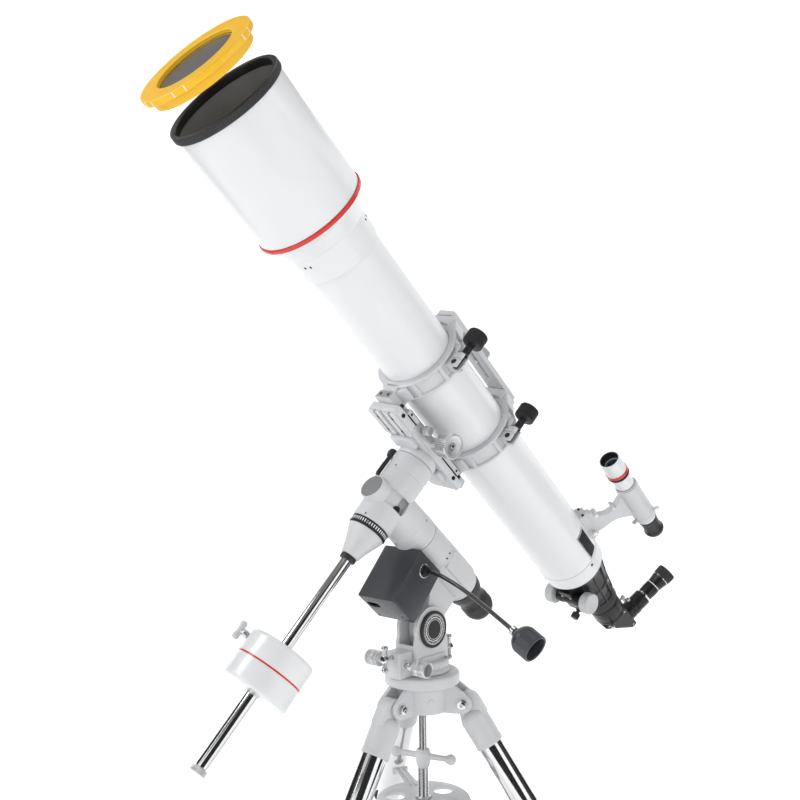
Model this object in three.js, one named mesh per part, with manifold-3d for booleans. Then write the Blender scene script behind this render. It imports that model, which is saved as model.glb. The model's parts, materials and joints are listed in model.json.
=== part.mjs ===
// Refractor telescope on a German equatorial mount and a three-legged field tripod.
// Millimetres, +Z up, the telescope looks up towards -Y. The origin is the middle of the floor under it.
import * as THREE from "three";
import { mergeVertices } from "three/addons/utils/BufferGeometryUtils.js";
import Module from "manifold-3d";

const wasm = await Module();
wasm.setup();

// ---------------------------------------------------------------- driving dimensions
const GAP = 0.3; // left between pieces that touch
const FINE = 32; // sides of a large round piece
const MEDIUM = 20;
const SMALL = 12;

// Tripod
const HEAD_TOP = 700; // height of the plane that the mount turns on
const HEAD_RADIUS = 72;
const HUB_RADIUS = 56;
const HUB_DEPTH = 72;
const LEG_COUNT = 3;
const LEG_SPREAD = 32; // degrees from the vertical
const LEG_PIVOT_RADIUS = 82;
const LEG_PIVOT_DROP = 54; // pivot below the head's top
const LEG_LUG_WIDTH = 30;
const EAR_THICKNESS = 9;
const SLEEVE_RADIUS = 27;
const SLEEVE_START = 26; // along the leg, from its pivot
const SLEEVE_END = 92;
const LEG_TUBE_RADIUS = 24;
const LEG_TUBE_END = 400;
const EXTENSION_RADIUS = 20;
const FOOT_RADIUS = 23;
const TRAY_DROP = 246; // tray plate below the head's top
const TRAY_RADIUS = 90;
const TRAY_THICKNESS = 7;
const ROD_RADIUS = 8;
const HANDLE_DROP = 164; // bar of the T-handle, below the head's top
const HANDLE_TURN = 18;
const ROD_DROP = 300; // lower end of the tension rod, below the head's top

// Mount base
const BASE_RADIUS = 52;
const BASE_HEIGHT = 24;
const CHEEK_INNER = 18;
const CHEEK_OUTER = 27;
const PIVOT_HEIGHT = 83; // latitude pivot above the head's top
const PEG_REACH = 66; // azimuth peg in front of the tripod's axis
const LATITUDE = 41.5; // degrees
const TAIL_LENGTH = 56; // of the latitude lug, below the pivot
const LAT_BOLT_FRONT = 40; // height of the front latitude bolt
const LAT_BOLT_REAR = 31;
const DISC_RADIUS = 35;
const AXLE_RADIUS = 10;

// Polar axis, from the latitude pivot: RA_OFFSET square to the axis, DEC_STATION along it
const RA_OFFSET = 124;
const HOUSING_RADIUS = 42;
const HOUSING_LOW = -44;
const RA_SEAM = 123;
const RA_SHAFT_RADIUS = 15;
const RA_TURN = 8; // degrees that the declination axis leans to the east
const DEC_STATION = 231;

// Declination axis, from the polar axis
const DEC_RADIUS = 40;
const DEC_LOW = -54;
const DEC_SEAM = 94;
const DEC_TURN = 0.8;
const LEVER_AZIMUTH = -128;
const LEVER_HEIGHT = 84;
const CIRCLE_RADIUS = 38.5;
const CIRCLE_HEIGHT = 14;
const NOSE_END = -123;
const WEIGHT_SHAFT_RADIUS = 11;
const WEIGHT_SHAFT_END = -555;
const WEIGHT_RADIUS = 64;
const WEIGHT_LOW = -412;
const WEIGHT_HIGH = -322;
const WEIGHT_SCREW_Z = -340;
const WEIGHT_SCREW_TURN = -40; // degrees from straight up the polar axis

// Saddle and rings
const SADDLE_HALF = 40;
const SADDLE_BACK = -98;
const SADDLE_FRONT = 138;
const CLAMP_LARGE = 25;
const CLAMP_SMALL = 62;
const CLAMP_Z = 132.8;
const BAR_HALF = 22; // dovetail bar, half width at its foot
const BAR_TOP = 146;
const TUBE_OFFSET = 240; // optical axis above the polar axis
const RING_STATIONS = [130, -79];
const RING_WIDTH = 40;
const RING_INNER = 70.5;
const RING_OUTER = 84;
const SPLIT = 8; // height of the rings' split above the optical axis
const HINGE_X = -93;
const EAR_X = 97; // swing bolt
const CAMERA_KNOB_STATION = 20;
const PLATE_FOOT = 100; // accessory plate above the optical axis

// Optical tube, stations along its axis
const TUBE_RADIUS = 70;
const TUBE_WALL = 2.5;
const TUBE_BACK = -505;
const TUBE_FRONT = 425;
const SHIELD_RADIUS = 100;
const RED_RING_RADIUS = 102.4;
const RIM_RADIUS = 103;
const SHIELD_BACK = 503.5;
const SHIELD_FRONT = 734;
const LENS_RADIUS = 63.5;
const LENS_STATION = 470;
const FILTER_STATION = 804; // front face of the solar filter, lifted off the rim
const FOCUSER_BACK = -690;
const PINION_STATION = -596;
const PINION_DROP = 58;
const DRAW_RADIUS = 29;
const DRAW_END = -748;
const DIAGONAL_STATION = -790; // eyepiece axis
const EYEPIECE_TURN = 18; // degrees that the diagonal leans round the tube
const FINDER_TURN = 32; // degrees that the finder leans round the tube
const FINDER_HEIGHT = 193;
const FINDER_RADIUS = 21;
const FINDER_FRONT = -345;
const FINDER_BACK = -604;
const SLEEVE_STATIONS = [-546, -434];
const SHOE_STATION = -462;

// ---------------------------------------------------------------- materials
function paint(color, roughness, metalness = 0) {
  return new THREE.MeshStandardMaterial({ color, roughness, metalness });
}
const WHITE = paint(0xeef0f2, 0.35);
const GREY = paint(0xb9bdc2, 0.45);
const BLACK = paint(0x17181a, 0.45);
const CHARCOAL = paint(0x3a3d42, 0.5);
const CHROME = paint(0xc8cacd, 0.15, 1);
const YELLOW = paint(0xf2b90f, 0.4);
const FILM = paint(0x8b8f96, 0.15, 0.8);
const GLASS = paint(0x6f8fa8, 0.05);
const RUBBER = paint(0x202123, 0.8);

// ---------------------------------------------------------------- solids
const radians = THREE.MathUtils.degToRad;

function solid(geometry) {
  const bare = geometry.index ? geometry.toNonIndexed() : geometry.clone();
  bare.deleteAttribute("normal");
  bare.deleteAttribute("uv");
  const merged = mergeVertices(bare, 1e-4);
  const corners = [];
  for (let i = 0; i < merged.index.count; i += 3) {
    const [a, b, c] = merged.index.array.slice(i, i + 3);
    if (a !== b && b !== c && c !== a) corners.push(a, b, c);
  }
  return new wasm.Manifold(
    new wasm.Mesh({
      numProp: 3,
      vertProperties: merged.attributes.position.array,
      triVerts: new Uint32Array(corners),
    }),
  );
}

function geometryOf(manifold) {
  const mesh = manifold.getMesh();
  const geometry = new THREE.BufferGeometry();
  geometry.setAttribute("position", new THREE.BufferAttribute(mesh.vertProperties, 3));
  geometry.setIndex(new THREE.BufferAttribute(mesh.triVerts, 1));
  const flat = geometry.toNonIndexed();
  flat.computeVertexNormals();
  return flat;
}

function join(first, ...others) {
  return others.reduce((whole, piece) => whole.add(piece), first);
}

function cut(first, ...others) {
  return others.reduce((whole, piece) => whole.subtract(piece), first);
}

// A solid turned about Z. Profile points are [radius, height]. A hollow piece ends where it starts.
function turned(profile, sides = FINE) {
  const points = profile.map(([radius, height]) => new THREE.Vector2(radius, height));
  if (THREE.ShapeUtils.area(points) < 0) points.reverse();
  return solid(new THREE.LatheGeometry(points, sides).rotateX(Math.PI / 2));
}

function disc(radius, low, high, sides = FINE) {
  return turned([[0, low], [radius, low], [radius, high], [0, high]], sides);
}

function pipe(inner, outer, low, high, sides = FINE) {
  return turned([[inner, low], [outer, low], [outer, high], [inner, high], [inner, low]], sides);
}

function box(x0, x1, y0, y1, z0, z1) {
  const geometry = new THREE.BoxGeometry(x1 - x0, y1 - y0, z1 - z0);
  return solid(geometry.translate((x0 + x1) / 2, (y0 + y1) / 2, (z0 + z1) / 2));
}

// A prism whose outline lies in the XY plane, from height low to high.
function prism(outline, low, high) {
  const shape = outline instanceof THREE.Shape
    ? outline
    : new THREE.Shape(outline.map(([x, y]) => new THREE.Vector2(x, y)));
  const geometry = new THREE.ExtrudeGeometry(shape, {
    depth: high - low,
    bevelEnabled: false,
    curveSegments: 10,
  });
  return solid(geometry.translate(0, 0, low));
}

// A copy of a solid turned by Euler angles in degrees and then moved.
function placed(piece, { turn = [0, 0, 0], at = [0, 0, 0] }) {
  return piece.rotate(turn).translate(at);
}

// A rod between two points.
function rod(from, to, radius, sides = SMALL) {
  const start = new THREE.Vector3(...from);
  const along = new THREE.Vector3(...to).sub(start);
  const geometry = new THREE.CylinderGeometry(radius, radius, along.length(), sides);
  geometry.translate(0, along.length() / 2, 0);
  const turn = new THREE.Quaternion().setFromUnitVectors(
    new THREE.Vector3(0, 1, 0),
    along.normalize(),
  );
  geometry.applyQuaternion(turn);
  return solid(geometry.translate(start.x, start.y, start.z));
}

// Turns a solid made about Z so that it lies about X or Y instead.
const aboutX = (piece) => piece.rotate([0, 90, 0]);
const aboutY = (piece) => piece.rotate([-90, 0, 0]);

// ---------------------------------------------------------------- scene graph helpers
function mesh(parent, name, piece, material) {
  const node = new THREE.Mesh(geometryOf(piece), material);
  node.name = name;
  parent.add(node);
  return node;
}

function frame(parent, { at = [0, 0, 0], turn = [0, 0, 0] } = {}) {
  const group = new THREE.Group();
  group.position.set(...at);
  group.rotation.set(...turn.map(radians));
  parent.add(group);
  return group;
}

// ---------------------------------------------------------------- tripod
const legAngle = (index) => -90 + (index * 360) / LEG_COUNT;

function tripodHead() {
  let head = turned([
    [0, -HUB_DEPTH], [HUB_RADIUS - 4, -HUB_DEPTH], [HUB_RADIUS, -HUB_DEPTH + 4], [HUB_RADIUS, -22],
    [HEAD_RADIUS, -12], [HEAD_RADIUS, -3], [HEAD_RADIUS - 4, 0], [0, 0],
  ]);
  head = cut(head, disc(ROD_RADIUS + 0.4, -HUB_DEPTH - 1, -20, SMALL));
  head = cut(head, disc(HUB_RADIUS - 12, -HUB_DEPTH - 1, -HUB_DEPTH + 40, MEDIUM));
  head = join(head, pipe(ROD_RADIUS + 0.4, 16, -HUB_DEPTH + 10, -HUB_DEPTH + 45, SMALL));
  const inner = LEG_LUG_WIDTH / 2 + GAP;
  const outer = inner + EAR_THICKNESS;
  const reach = LEG_PIVOT_RADIUS;
  for (let leg = 0; leg < LEG_COUNT; leg++) {
    for (const side of [-1, 1]) {
      const outline = new THREE.Shape();
      outline.moveTo(HUB_RADIUS - 8, -18);
      outline.lineTo(HUB_RADIUS - 8, -HUB_DEPTH);
      outline.lineTo(reach, -LEG_PIVOT_DROP - 18);
      outline.absarc(reach, -LEG_PIVOT_DROP, 18, -Math.PI / 2, Math.PI / 3, false);
      const plate = prism(outline, Math.min(side * inner, side * outer), Math.max(side * inner, side * outer));
      const standing = plate.rotate([90, 0, 0]).rotate([0, 0, legAngle(leg)]);
      const eye = rod([reach, -outer - 1, -LEG_PIVOT_DROP], [reach, outer + 1, -LEG_PIVOT_DROP], 5.4);
      head = join(head, cut(standing, eye.rotate([0, 0, legAngle(leg)])));
    }
  }
  const peg = disc(5, -4, 34, SMALL).translate([0, -PEG_REACH, 0]);
  return join(head, peg);
}

// A leg hangs along -Z from its pivot, before the spread.
function addLeg(tripod, leg) {
  const turned120 = frame(tripod, { turn: [0, 0, legAngle(leg)] });
  const hip = frame(turned120, {
    at: [LEG_PIVOT_RADIUS, 0, -LEG_PIVOT_DROP],
    turn: [0, -LEG_SPREAD, 0],
  });
  hip.name = `pivot_leg_${leg + 1}`;
  const half = LEG_LUG_WIDTH / 2;
  let sleeve = pipe(LEG_TUBE_RADIUS + GAP, SLEEVE_RADIUS, -SLEEVE_END, -SLEEVE_START - 8, MEDIUM);
  const cap = turned([
    [0, -SLEEVE_START - 8.1], [SLEEVE_RADIUS, -SLEEVE_START - 8.1], [SLEEVE_RADIUS, -SLEEVE_START - 4],
    [SLEEVE_RADIUS - 9, -SLEEVE_START + 6], [0, -SLEEVE_START + 8],
  ], MEDIUM);
  const lug = join(
    rod([0, -half, 0], [0, half, 0], 15, MEDIUM),
    box(-13, 13, -half, half, -SLEEVE_START, 0),
  );
  sleeve = join(sleeve, cap, lug);
  const bolt = join(
    rod([0, -half - EAR_THICKNESS - 7, 0], [0, half + EAR_THICKNESS + 7, 0], 5, SMALL),
    rod([0, half + EAR_THICKNESS + 1, 0], [0, half + EAR_THICKNESS + 7, 0], 8, 6),
    rod([0, -half - EAR_THICKNESS - 7, 0], [0, -half - EAR_THICKNESS - 1, 0], 8, 6),
  );
  mesh(hip, `leg_${leg + 1}_sleeve`, join(sleeve, bolt), WHITE);

  const collarTop = -LEG_TUBE_END + 22;
  const collarLow = -LEG_TUBE_END - 12;
  const knobAt = -LEG_TUBE_END + 4;
  let tube = pipe(LEG_TUBE_RADIUS - 2.5, LEG_TUBE_RADIUS, -LEG_TUBE_END, -SLEEVE_START - 9, MEDIUM);
  tube = join(tube, pipe(EXTENSION_RADIUS + GAP, SLEEVE_RADIUS + 1, collarLow, collarTop, MEDIUM));
  tube = join(tube, rod([SLEEVE_RADIUS - 2, 0, knobAt], [SLEEVE_RADIUS + 10, 0, knobAt], 8));
  tube = cut(tube, rod([EXTENSION_RADIUS - 1, 0, knobAt], [SLEEVE_RADIUS + 11, 0, knobAt], 4.3));
  tube = cut(tube, disc(EXTENSION_RADIUS + GAP, collarLow - 1, collarTop - 4, MEDIUM));
  mesh(hip, `leg_${leg + 1}_tube`, tube, CHROME);

  const stem = rod([EXTENSION_RADIUS + GAP, 0, knobAt], [SLEEVE_RADIUS + 14, 0, knobAt], 4);
  const grip = rod([SLEEVE_RADIUS + 11, 0, knobAt], [SLEEVE_RADIUS + 27, 0, knobAt], 13, 8);
  mesh(hip, `leg_${leg + 1}_lock_knob`, join(stem, grip), BLACK);

  // The foot's sole is level with the floor.
  const length = (HEAD_TOP - LEG_PIVOT_DROP) / Math.cos(radians(LEG_SPREAD));
  const soleLean = FOOT_RADIUS * Math.tan(radians(LEG_SPREAD));
  let extension = disc(EXTENSION_RADIUS, -length + 30, -LEG_TUBE_END + 90, MEDIUM);
  extension = join(extension, disc(FOOT_RADIUS, -length - soleLean - 1, -length + 40, MEDIUM));
  const under = placed(box(-90, 90, -60, 60, -80, 0), {
    turn: [0, LEG_SPREAD, 0],
    at: [0, 0, -length],
  });
  mesh(hip, `leg_${leg + 1}_extension`, cut(extension, under), GREY);
}

function spreaderTray() {
  const top = -TRAY_DROP;
  const low = top - TRAY_THICKNESS;
  let tray = disc(TRAY_RADIUS, low, top);
  tray = join(tray, pipe(TRAY_RADIUS - 3, TRAY_RADIUS, low, top + 5));
  const legAt = LEG_PIVOT_RADIUS
    + (TRAY_DROP + TRAY_THICKNESS / 2 - LEG_PIVOT_DROP) * Math.tan(radians(LEG_SPREAD));
  const armEnd = legAt - LEG_TUBE_RADIUS / Math.cos(radians(LEG_SPREAD)) - 7;
  const clearance = disc(ROD_RADIUS + 0.5, low - 1, top + 1, SMALL);
  for (let leg = 0; leg < LEG_COUNT; leg++) {
    const arm = join(
      box(TRAY_RADIUS - 20, armEnd, -10, 10, low, top),
      box(armEnd - 5, armEnd, -17, 17, low - 6, top + 2),
    );
    tray = join(tray, arm.rotate([0, 0, legAngle(leg)]));
    const large = disc(19, low - 1, top + 6, SMALL).translate([TRAY_RADIUS - 34, 0, 0]);
    tray = cut(tray, large.rotate([0, 0, legAngle(leg) + 60]));
  }
  return cut(tray, clearance);
}

// T-handle nut: a threaded boss that presses the tray down, with a bar and two balls.
function tHandleNut() {
  const bar = -HANDLE_DROP;
  const low = -TRAY_DROP + GAP;
  let nut = turned([
    [ROD_RADIUS + 0.4, low], [14, low], [14, low + 5], [11, low + 8], [11, bar - 16], [14, bar - 12],
    [14, bar + 10], [11, bar + 14], [ROD_RADIUS + 0.4, bar + 14], [ROD_RADIUS + 0.4, low],
  ], MEDIUM);
  for (const side of [-1, 1]) {
    nut = join(nut, rod([side * 12, 0, bar], [side * 54, 0, bar], 4));
    nut = join(nut, solid(new THREE.SphereGeometry(9, 12, 8).translate(side * 58, 0, bar)));
  }
  return nut;
}

// ---------------------------------------------------------------- mount base
function azimuthBase() {
  const top = BASE_HEIGHT;
  let base = disc(BASE_RADIUS, GAP, top);
  // Latitude fork: two cheeks, seen along X, joined by a front and a rear web.
  const cheek = new THREE.Shape();
  cheek.moveTo(-46, top - 4);
  cheek.lineTo(46, top - 4);
  cheek.lineTo(44, PIVOT_HEIGHT - 18);
  cheek.absarc(0, PIVOT_HEIGHT, 43, -0.35, Math.PI + 0.35, false);
  for (const side of [-1, 1]) {
    const low = side > 0 ? CHEEK_INNER : -CHEEK_OUTER;
    const plate = prism(cheek, low, low + CHEEK_OUTER - CHEEK_INNER);
    base = join(base, plate.rotate([90, 0, 0]).rotate([0, 0, 90]));
  }
  base = join(base, box(-CHEEK_INNER - 1, CHEEK_INNER + 1, -46, -38, top - 2, top + 32));
  base = join(base, box(-CHEEK_INNER - 1, CHEEK_INNER + 1, 38, 46, top - 2, top + 22));
  // Azimuth block in front, with a slot over the peg.
  base = join(base, box(-19, 19, -PEG_REACH - 16, -40, GAP, 48));
  base = cut(base, box(-15, 15, -PEG_REACH - 8, -PEG_REACH + 8, -1, 38));
  base = cut(base, rod([-30, -PEG_REACH, 26], [30, -PEG_REACH, 26], 4.5));
  base = cut(base, rod([0, -90, LAT_BOLT_FRONT], [0, -30, LAT_BOLT_FRONT], 4.5));
  base = cut(base, rod([0, 60, LAT_BOLT_REAR], [0, 30, LAT_BOLT_REAR], 4.5));
  return cut(base, rod([-40, 0, PIVOT_HEIGHT], [40, 0, PIVOT_HEIGHT], AXLE_RADIUS + 0.4, MEDIUM));
}

// An azimuth knob lies along +X from the peg outwards.
function azimuthKnob() {
  return aboutX(turned([
    [0, 5.3], [4, 5.3], [4, 31], [9, 31], [9, 35], [6, 38], [6, 45], [14, 47], [15, 50], [15, 74],
    [13, 77], [0, 77],
  ], MEDIUM)).translate([0, -PEG_REACH, 26]);
}

// A latitude bolt points along -Y from its tip, with a bar across its end.
function latitudeBolt(tip, bar) {
  const screw = rod([0, -tip, 0], [0, -bar, 0], 4);
  const boss = rod([0, -bar + 4, 0], [0, -bar - 6, 0], 8);
  const grip = rod([0, -bar, -25], [0, -bar, 25], 4.5);
  return join(screw, boss, grip);
}

// ---------------------------------------------------------------- polar axis
// Solids of the polar axis are made about Z = polar axis, with the latitude pivot at Y = -RA_OFFSET.
function polarHousing() {
  let housing = turned([
    [RA_SHAFT_RADIUS + 0.4, HOUSING_LOW], [38, HOUSING_LOW], [38, HOUSING_LOW + 12],
    [HOUSING_RADIUS, HOUSING_LOW + 18], [HOUSING_RADIUS, RA_SEAM], [RA_SHAFT_RADIUS + 0.4, RA_SEAM],
    [RA_SHAFT_RADIUS + 0.4, HOUSING_LOW],
  ]);
  // The arm down to the pivot, seen along X; its tail below the pivot takes the latitude bolts.
  const half = CHEEK_INNER - 0.6;
  const tilt = radians(90 - LATITUDE);
  const tailEnd = { y: -RA_OFFSET - TAIL_LENGTH * Math.sin(tilt), z: -TAIL_LENGTH * Math.cos(tilt) };
  const arm = new THREE.Shape([
    [-34, HOUSING_LOW + 12], [-34, 62], [-RA_OFFSET + 20, 20], [-RA_OFFSET - 2, 21],
    [-RA_OFFSET - 20, 8], [tailEnd.y - 4, tailEnd.z + 4.5], [tailEnd.y + 4, tailEnd.z - 4.5],
    [-RA_OFFSET - 2, -22], [-RA_OFFSET + 22, -22],
  ].map(([y, z]) => new THREE.Vector2(y, z)));
  const plate = prism(arm, -half, half).rotate([90, 0, 0]).rotate([0, 0, 90]);
  housing = join(housing, cut(plate, disc(RA_SHAFT_RADIUS + 0.4, -200, 200)));
  const axle = rod([-40, -RA_OFFSET, 0], [40, -RA_OFFSET, 0], AXLE_RADIUS + 0.4, MEDIUM);
  return cut(housing, axle);
}

function latitudeAxle() {
  const scale = aboutX(disc(DISC_RADIUS, CHEEK_OUTER + GAP, CHEEK_OUTER + 6));
  const nut = aboutX(disc(14, -CHEEK_OUTER - 9, -CHEEK_OUTER - GAP, 6));
  const axle = rod([-CHEEK_OUTER - 2, 0, 0], [CHEEK_OUTER + 2, 0, 0], AXLE_RADIUS, MEDIUM);
  return join(axle, scale, nut).translate([0, -RA_OFFSET, 0]);
}

const GEAR_HUB = { y: -62.5, z: 108 };
const GEAR_BOX = { x0: -50, x1: 45, y0: -150, y1: -36, z0: 66, z1: 140 };

function gearCover() {
  const { x0, x1, y0, y1, z0, z1 } = GEAR_BOX;
  const wall = 3.5;
  let cover = prism([
    [x0 + 5, y0], [x1 - 5, y0], [x1, y0 + 5], [x1, y1], [x0, y1], [x0, y0 + 5],
  ], z0, z1);
  cover = cut(cover, box(x0 + wall, x1 - wall, y0 + wall, y1 - 26, z0 - 1, z1 - wall));
  cover = cut(cover, disc(HOUSING_RADIUS + GAP, z0 - 10, z1 + 10));
  const hub = rod([x1 - 1, GEAR_HUB.y, GEAR_HUB.z], [x1 + 11, GEAR_HUB.y, GEAR_HUB.z], 9, 6);
  return join(cover, hub);
}

function polarCap() {
  return turned([
    [0, -137], [17, -137], [27, -131], [31, -120], [31, -96], [28, -88], [28, -80], [35, -62],
    [38, HOUSING_LOW - GAP], [RA_SHAFT_RADIUS - 0.5, HOUSING_LOW - GAP],
    [RA_SHAFT_RADIUS - 0.5, HOUSING_LOW + 8], [0, HOUSING_LOW + 8],
  ], MEDIUM);
}

// Slow-motion cable: route in the mount's frame (X east, Y back, Z above the tripod head),
// chosen by hand, a stiff shaft that leaves the gear cover sideways and droops.
const CABLE_RADIUS = 4.2;
const CABLE_ROUTE = [
  [56.5, -40.2, 200.6], [66, -40.2, 200.1], [76, -40.2, 198.9], [88, -40.2, 196.2],
  [104, -40.2, 191.4], [122, -40.2, 185], [140, -40.2, 177.8], [158, -40.2, 169.9],
  [176, -40.2, 161.2], [194, -40.2, 152], [212, -40.2, 142.6], [230, -40.2, 133.1],
  [248, -40.2, 123.6],
];
const CUP_TURN = 117.8; // degrees from straight up, in line with the cable's end

function cablePoints() {
  return CABLE_ROUTE.map((point) => new THREE.Vector3(...point));
}

function slowMotionCable() {
  const section = new THREE.Shape().absarc(0, 0, CABLE_RADIUS, 0, Math.PI * 2, false);
  const geometry = new THREE.ExtrudeGeometry(section, {
    extrudePath: new THREE.CatmullRomCurve3(cablePoints(), false, "centripetal"),
    steps: 26,
    curveSegments: 4,
    bevelEnabled: false,
  });
  return solid(geometry);
}

// The cup knob at the cable's far end, about Z, its mouth at the top.
function slowMotionKnob() {
  return turned([
    [0, GAP], [6, GAP], [8, 6], [11, 14], [20, 20], [24, 28], [25.5, 56], [24.5, 59], [21.5, 59],
    [21, 32], [17, 26], [0, 26],
  ], MEDIUM);
}

// ---------------------------------------------------------------- declination axis
// Made about Z = declination axis; -Y points up the polar axis, +X to the east.
function decHousing() {
  let housing = disc(DEC_RADIUS, DEC_LOW, DEC_SEAM);
  const seam = -(RA_SEAM + GAP - DEC_STATION);
  housing = join(housing, aboutY(disc(HOUSING_RADIUS, 0, seam)));
  housing = join(housing, aboutY(disc(24, -48, 0, MEDIUM)));
  housing = join(housing, aboutY(disc(22, -52, -47, MEDIUM)));
  const shaftEnd = -(HOUSING_LOW + 12 - DEC_STATION);
  housing = join(housing, aboutY(disc(RA_SHAFT_RADIUS, 10, shaftEnd, MEDIUM)));
  housing = join(housing, disc(19.5, DEC_LOW - CIRCLE_HEIGHT - GAP, DEC_LOW + 1, MEDIUM));
  // Worm block on the west side.
  housing = join(housing, box(-52, -30, -22, 34, 4, 44));
  return cut(housing, disc(RA_SHAFT_RADIUS + 0.4, DEC_LOW + 24, DEC_SEAM + 1, MEDIUM));
}

function decClutchLever() {
  const blade = prism([
    [-6, -7], [6, -7], [7, 0], [5.5, 46], [3, 52], [-3, 52], [-5.5, 46], [-7, 0],
  ], 0, 9);
  const whole = join(blade, disc(10, 0, 12, SMALL));
  return whole.rotate([-90, 0, 0]).translate([0, DEC_RADIUS + 0.6, 0]);
}

function settingCircle() {
  return pipe(20, CIRCLE_RADIUS, DEC_LOW - CIRCLE_HEIGHT, DEC_LOW - GAP);
}

function nosepiece() {
  const top = DEC_LOW - CIRCLE_HEIGHT - GAP * 2;
  return turned([
    [WEIGHT_SHAFT_RADIUS + 0.4, NOSE_END], [17, NOSE_END], [18, NOSE_END + 3], [23, -104], [30, -86],
    [34, -76], [36, top - 3], [36, top], [WEIGHT_SHAFT_RADIUS + 0.4, top],
    [WEIGHT_SHAFT_RADIUS + 0.4, NOSE_END],
  ]);
}

function weightShaft() {
  const shaft = disc(WEIGHT_SHAFT_RADIUS, WEIGHT_SHAFT_END, DEC_LOW - CIRCLE_HEIGHT - GAP * 2, MEDIUM);
  const bushing = disc(15.5, NOSE_END - 9, NOSE_END - GAP, MEDIUM);
  const bore = disc(4.4, WEIGHT_SHAFT_END - 1, WEIGHT_SHAFT_END + 22, SMALL);
  return cut(join(shaft, bushing), bore);
}

function counterweight() {
  const inner = WEIGHT_SHAFT_RADIUS + 0.4;
  const weight = turned([
    [inner, WEIGHT_LOW], [WEIGHT_RADIUS - 4, WEIGHT_LOW], [WEIGHT_RADIUS, WEIGHT_LOW + 4],
    [WEIGHT_RADIUS, WEIGHT_HIGH - 4], [WEIGHT_RADIUS - 4, WEIGHT_HIGH], [inner, WEIGHT_HIGH],
    [inner, WEIGHT_LOW],
  ]);
  return cut(weight, rod([0, -inner + 2, WEIGHT_SCREW_Z], [0, -WEIGHT_RADIUS - 1, WEIGHT_SCREW_Z], 4.3));
}

// T-shaped thumb screw of the counterweight, along -Y.
function counterweightScrew() {
  const screw = rod([0, -WEIGHT_SHAFT_RADIUS - 0.5, 0], [0, -WEIGHT_RADIUS - 16, 0], 4);
  const collar = rod([0, -WEIGHT_RADIUS - GAP, 0], [0, -WEIGHT_RADIUS - 12, 0], 7);
  const grip = rod([0, -WEIGHT_RADIUS - 20, -17], [0, -WEIGHT_RADIUS - 20, 17], 6);
  return join(screw, collar, grip).translate([0, 0, WEIGHT_SCREW_Z]);
}

function shaftEndCap() {
  const low = WEIGHT_SHAFT_END - 11;
  return join(
    turned([[0, low], [13.5, low], [15, low + 2], [15, low + 9], [13.5, WEIGHT_SHAFT_END - GAP],
      [0, WEIGHT_SHAFT_END - GAP]], MEDIUM),
    disc(4, WEIGHT_SHAFT_END - 1, WEIGHT_SHAFT_END + 20, SMALL),
  );
}

// ---------------------------------------------------------------- saddle
function saddle() {
  const collar = disc(DEC_RADIUS, DEC_SEAM + GAP, 116);
  const shaft = disc(RA_SHAFT_RADIUS, DEC_LOW + 30, DEC_SEAM + 2, MEDIUM);
  const floor = box(-SADDLE_HALF, SADDLE_HALF, -SADDLE_FRONT, -SADDLE_BACK, 112, 128);
  const rail = prism([
    [BAR_HALF + 0.8, 0], [SADDLE_HALF, 0], [SADDLE_HALF, 10], [SADDLE_HALF - 5, 13], [BAR_HALF - 2.6, 13],
  ], SADDLE_BACK, SADDLE_FRONT).rotate([90, 0, 0]).translate([0, 0, 127]);
  let whole = join(collar, shaft, floor, rail, rail.mirror([1, 0, 0]));
  whole = cut(whole, box(BAR_HALF - 2, 60, -CLAMP_LARGE - 5, -CLAMP_LARGE + 5, 129, 136.5));
  whole = cut(whole, box(BAR_HALF - 2, 60, -CLAMP_SMALL - 5, -CLAMP_SMALL + 5, 129, 136.5));
  return whole;
}

// A clamp knob lies along +X.
function clampKnob(station, radius, start, end) {
  const stem = rod([BAR_HALF + 0.3, 0, 0], [start + 2, 0, 0], 3.2);
  const cone = aboutX(turned([[0, SADDLE_HALF + GAP], [7, SADDLE_HALF + GAP], [radius * 0.55, start],
    [radius, start], [radius, end], [radius * 0.8, end], [radius * 0.7, end - 3], [0, end - 3]], MEDIUM));
  return join(stem, cone).translate([0, -station, CLAMP_Z]);
}

function dovetailBar() {
  const low = 128 + GAP;
  const bar = prism([
    [-BAR_HALF, low], [BAR_HALF, low], [BAR_HALF - 3.2, 140.5], [BAR_HALF - 3.2, BAR_TOP],
    [-BAR_HALF + 3.2, BAR_TOP], [-BAR_HALF + 3.2, 140.5],
  ], SADDLE_BACK - 18, SADDLE_FRONT + 14);
  return bar.rotate([90, 0, 0]);
}

// ---------------------------------------------------------------- rings
// Made in the tube's frame: X east, Y away from the mount, Z up the tube.
function ringBand() {
  const half = RING_WIDTH / 2;
  return turned([
    [RING_INNER, -half], [RING_OUTER, -half], [RING_OUTER, -half + 5], [RING_OUTER - 5, -half + 6],
    [RING_OUTER - 5, half - 6], [RING_OUTER, half - 5], [RING_OUTER, half], [RING_INNER, half],
    [RING_INNER, -half],
  ]);
}

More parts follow.
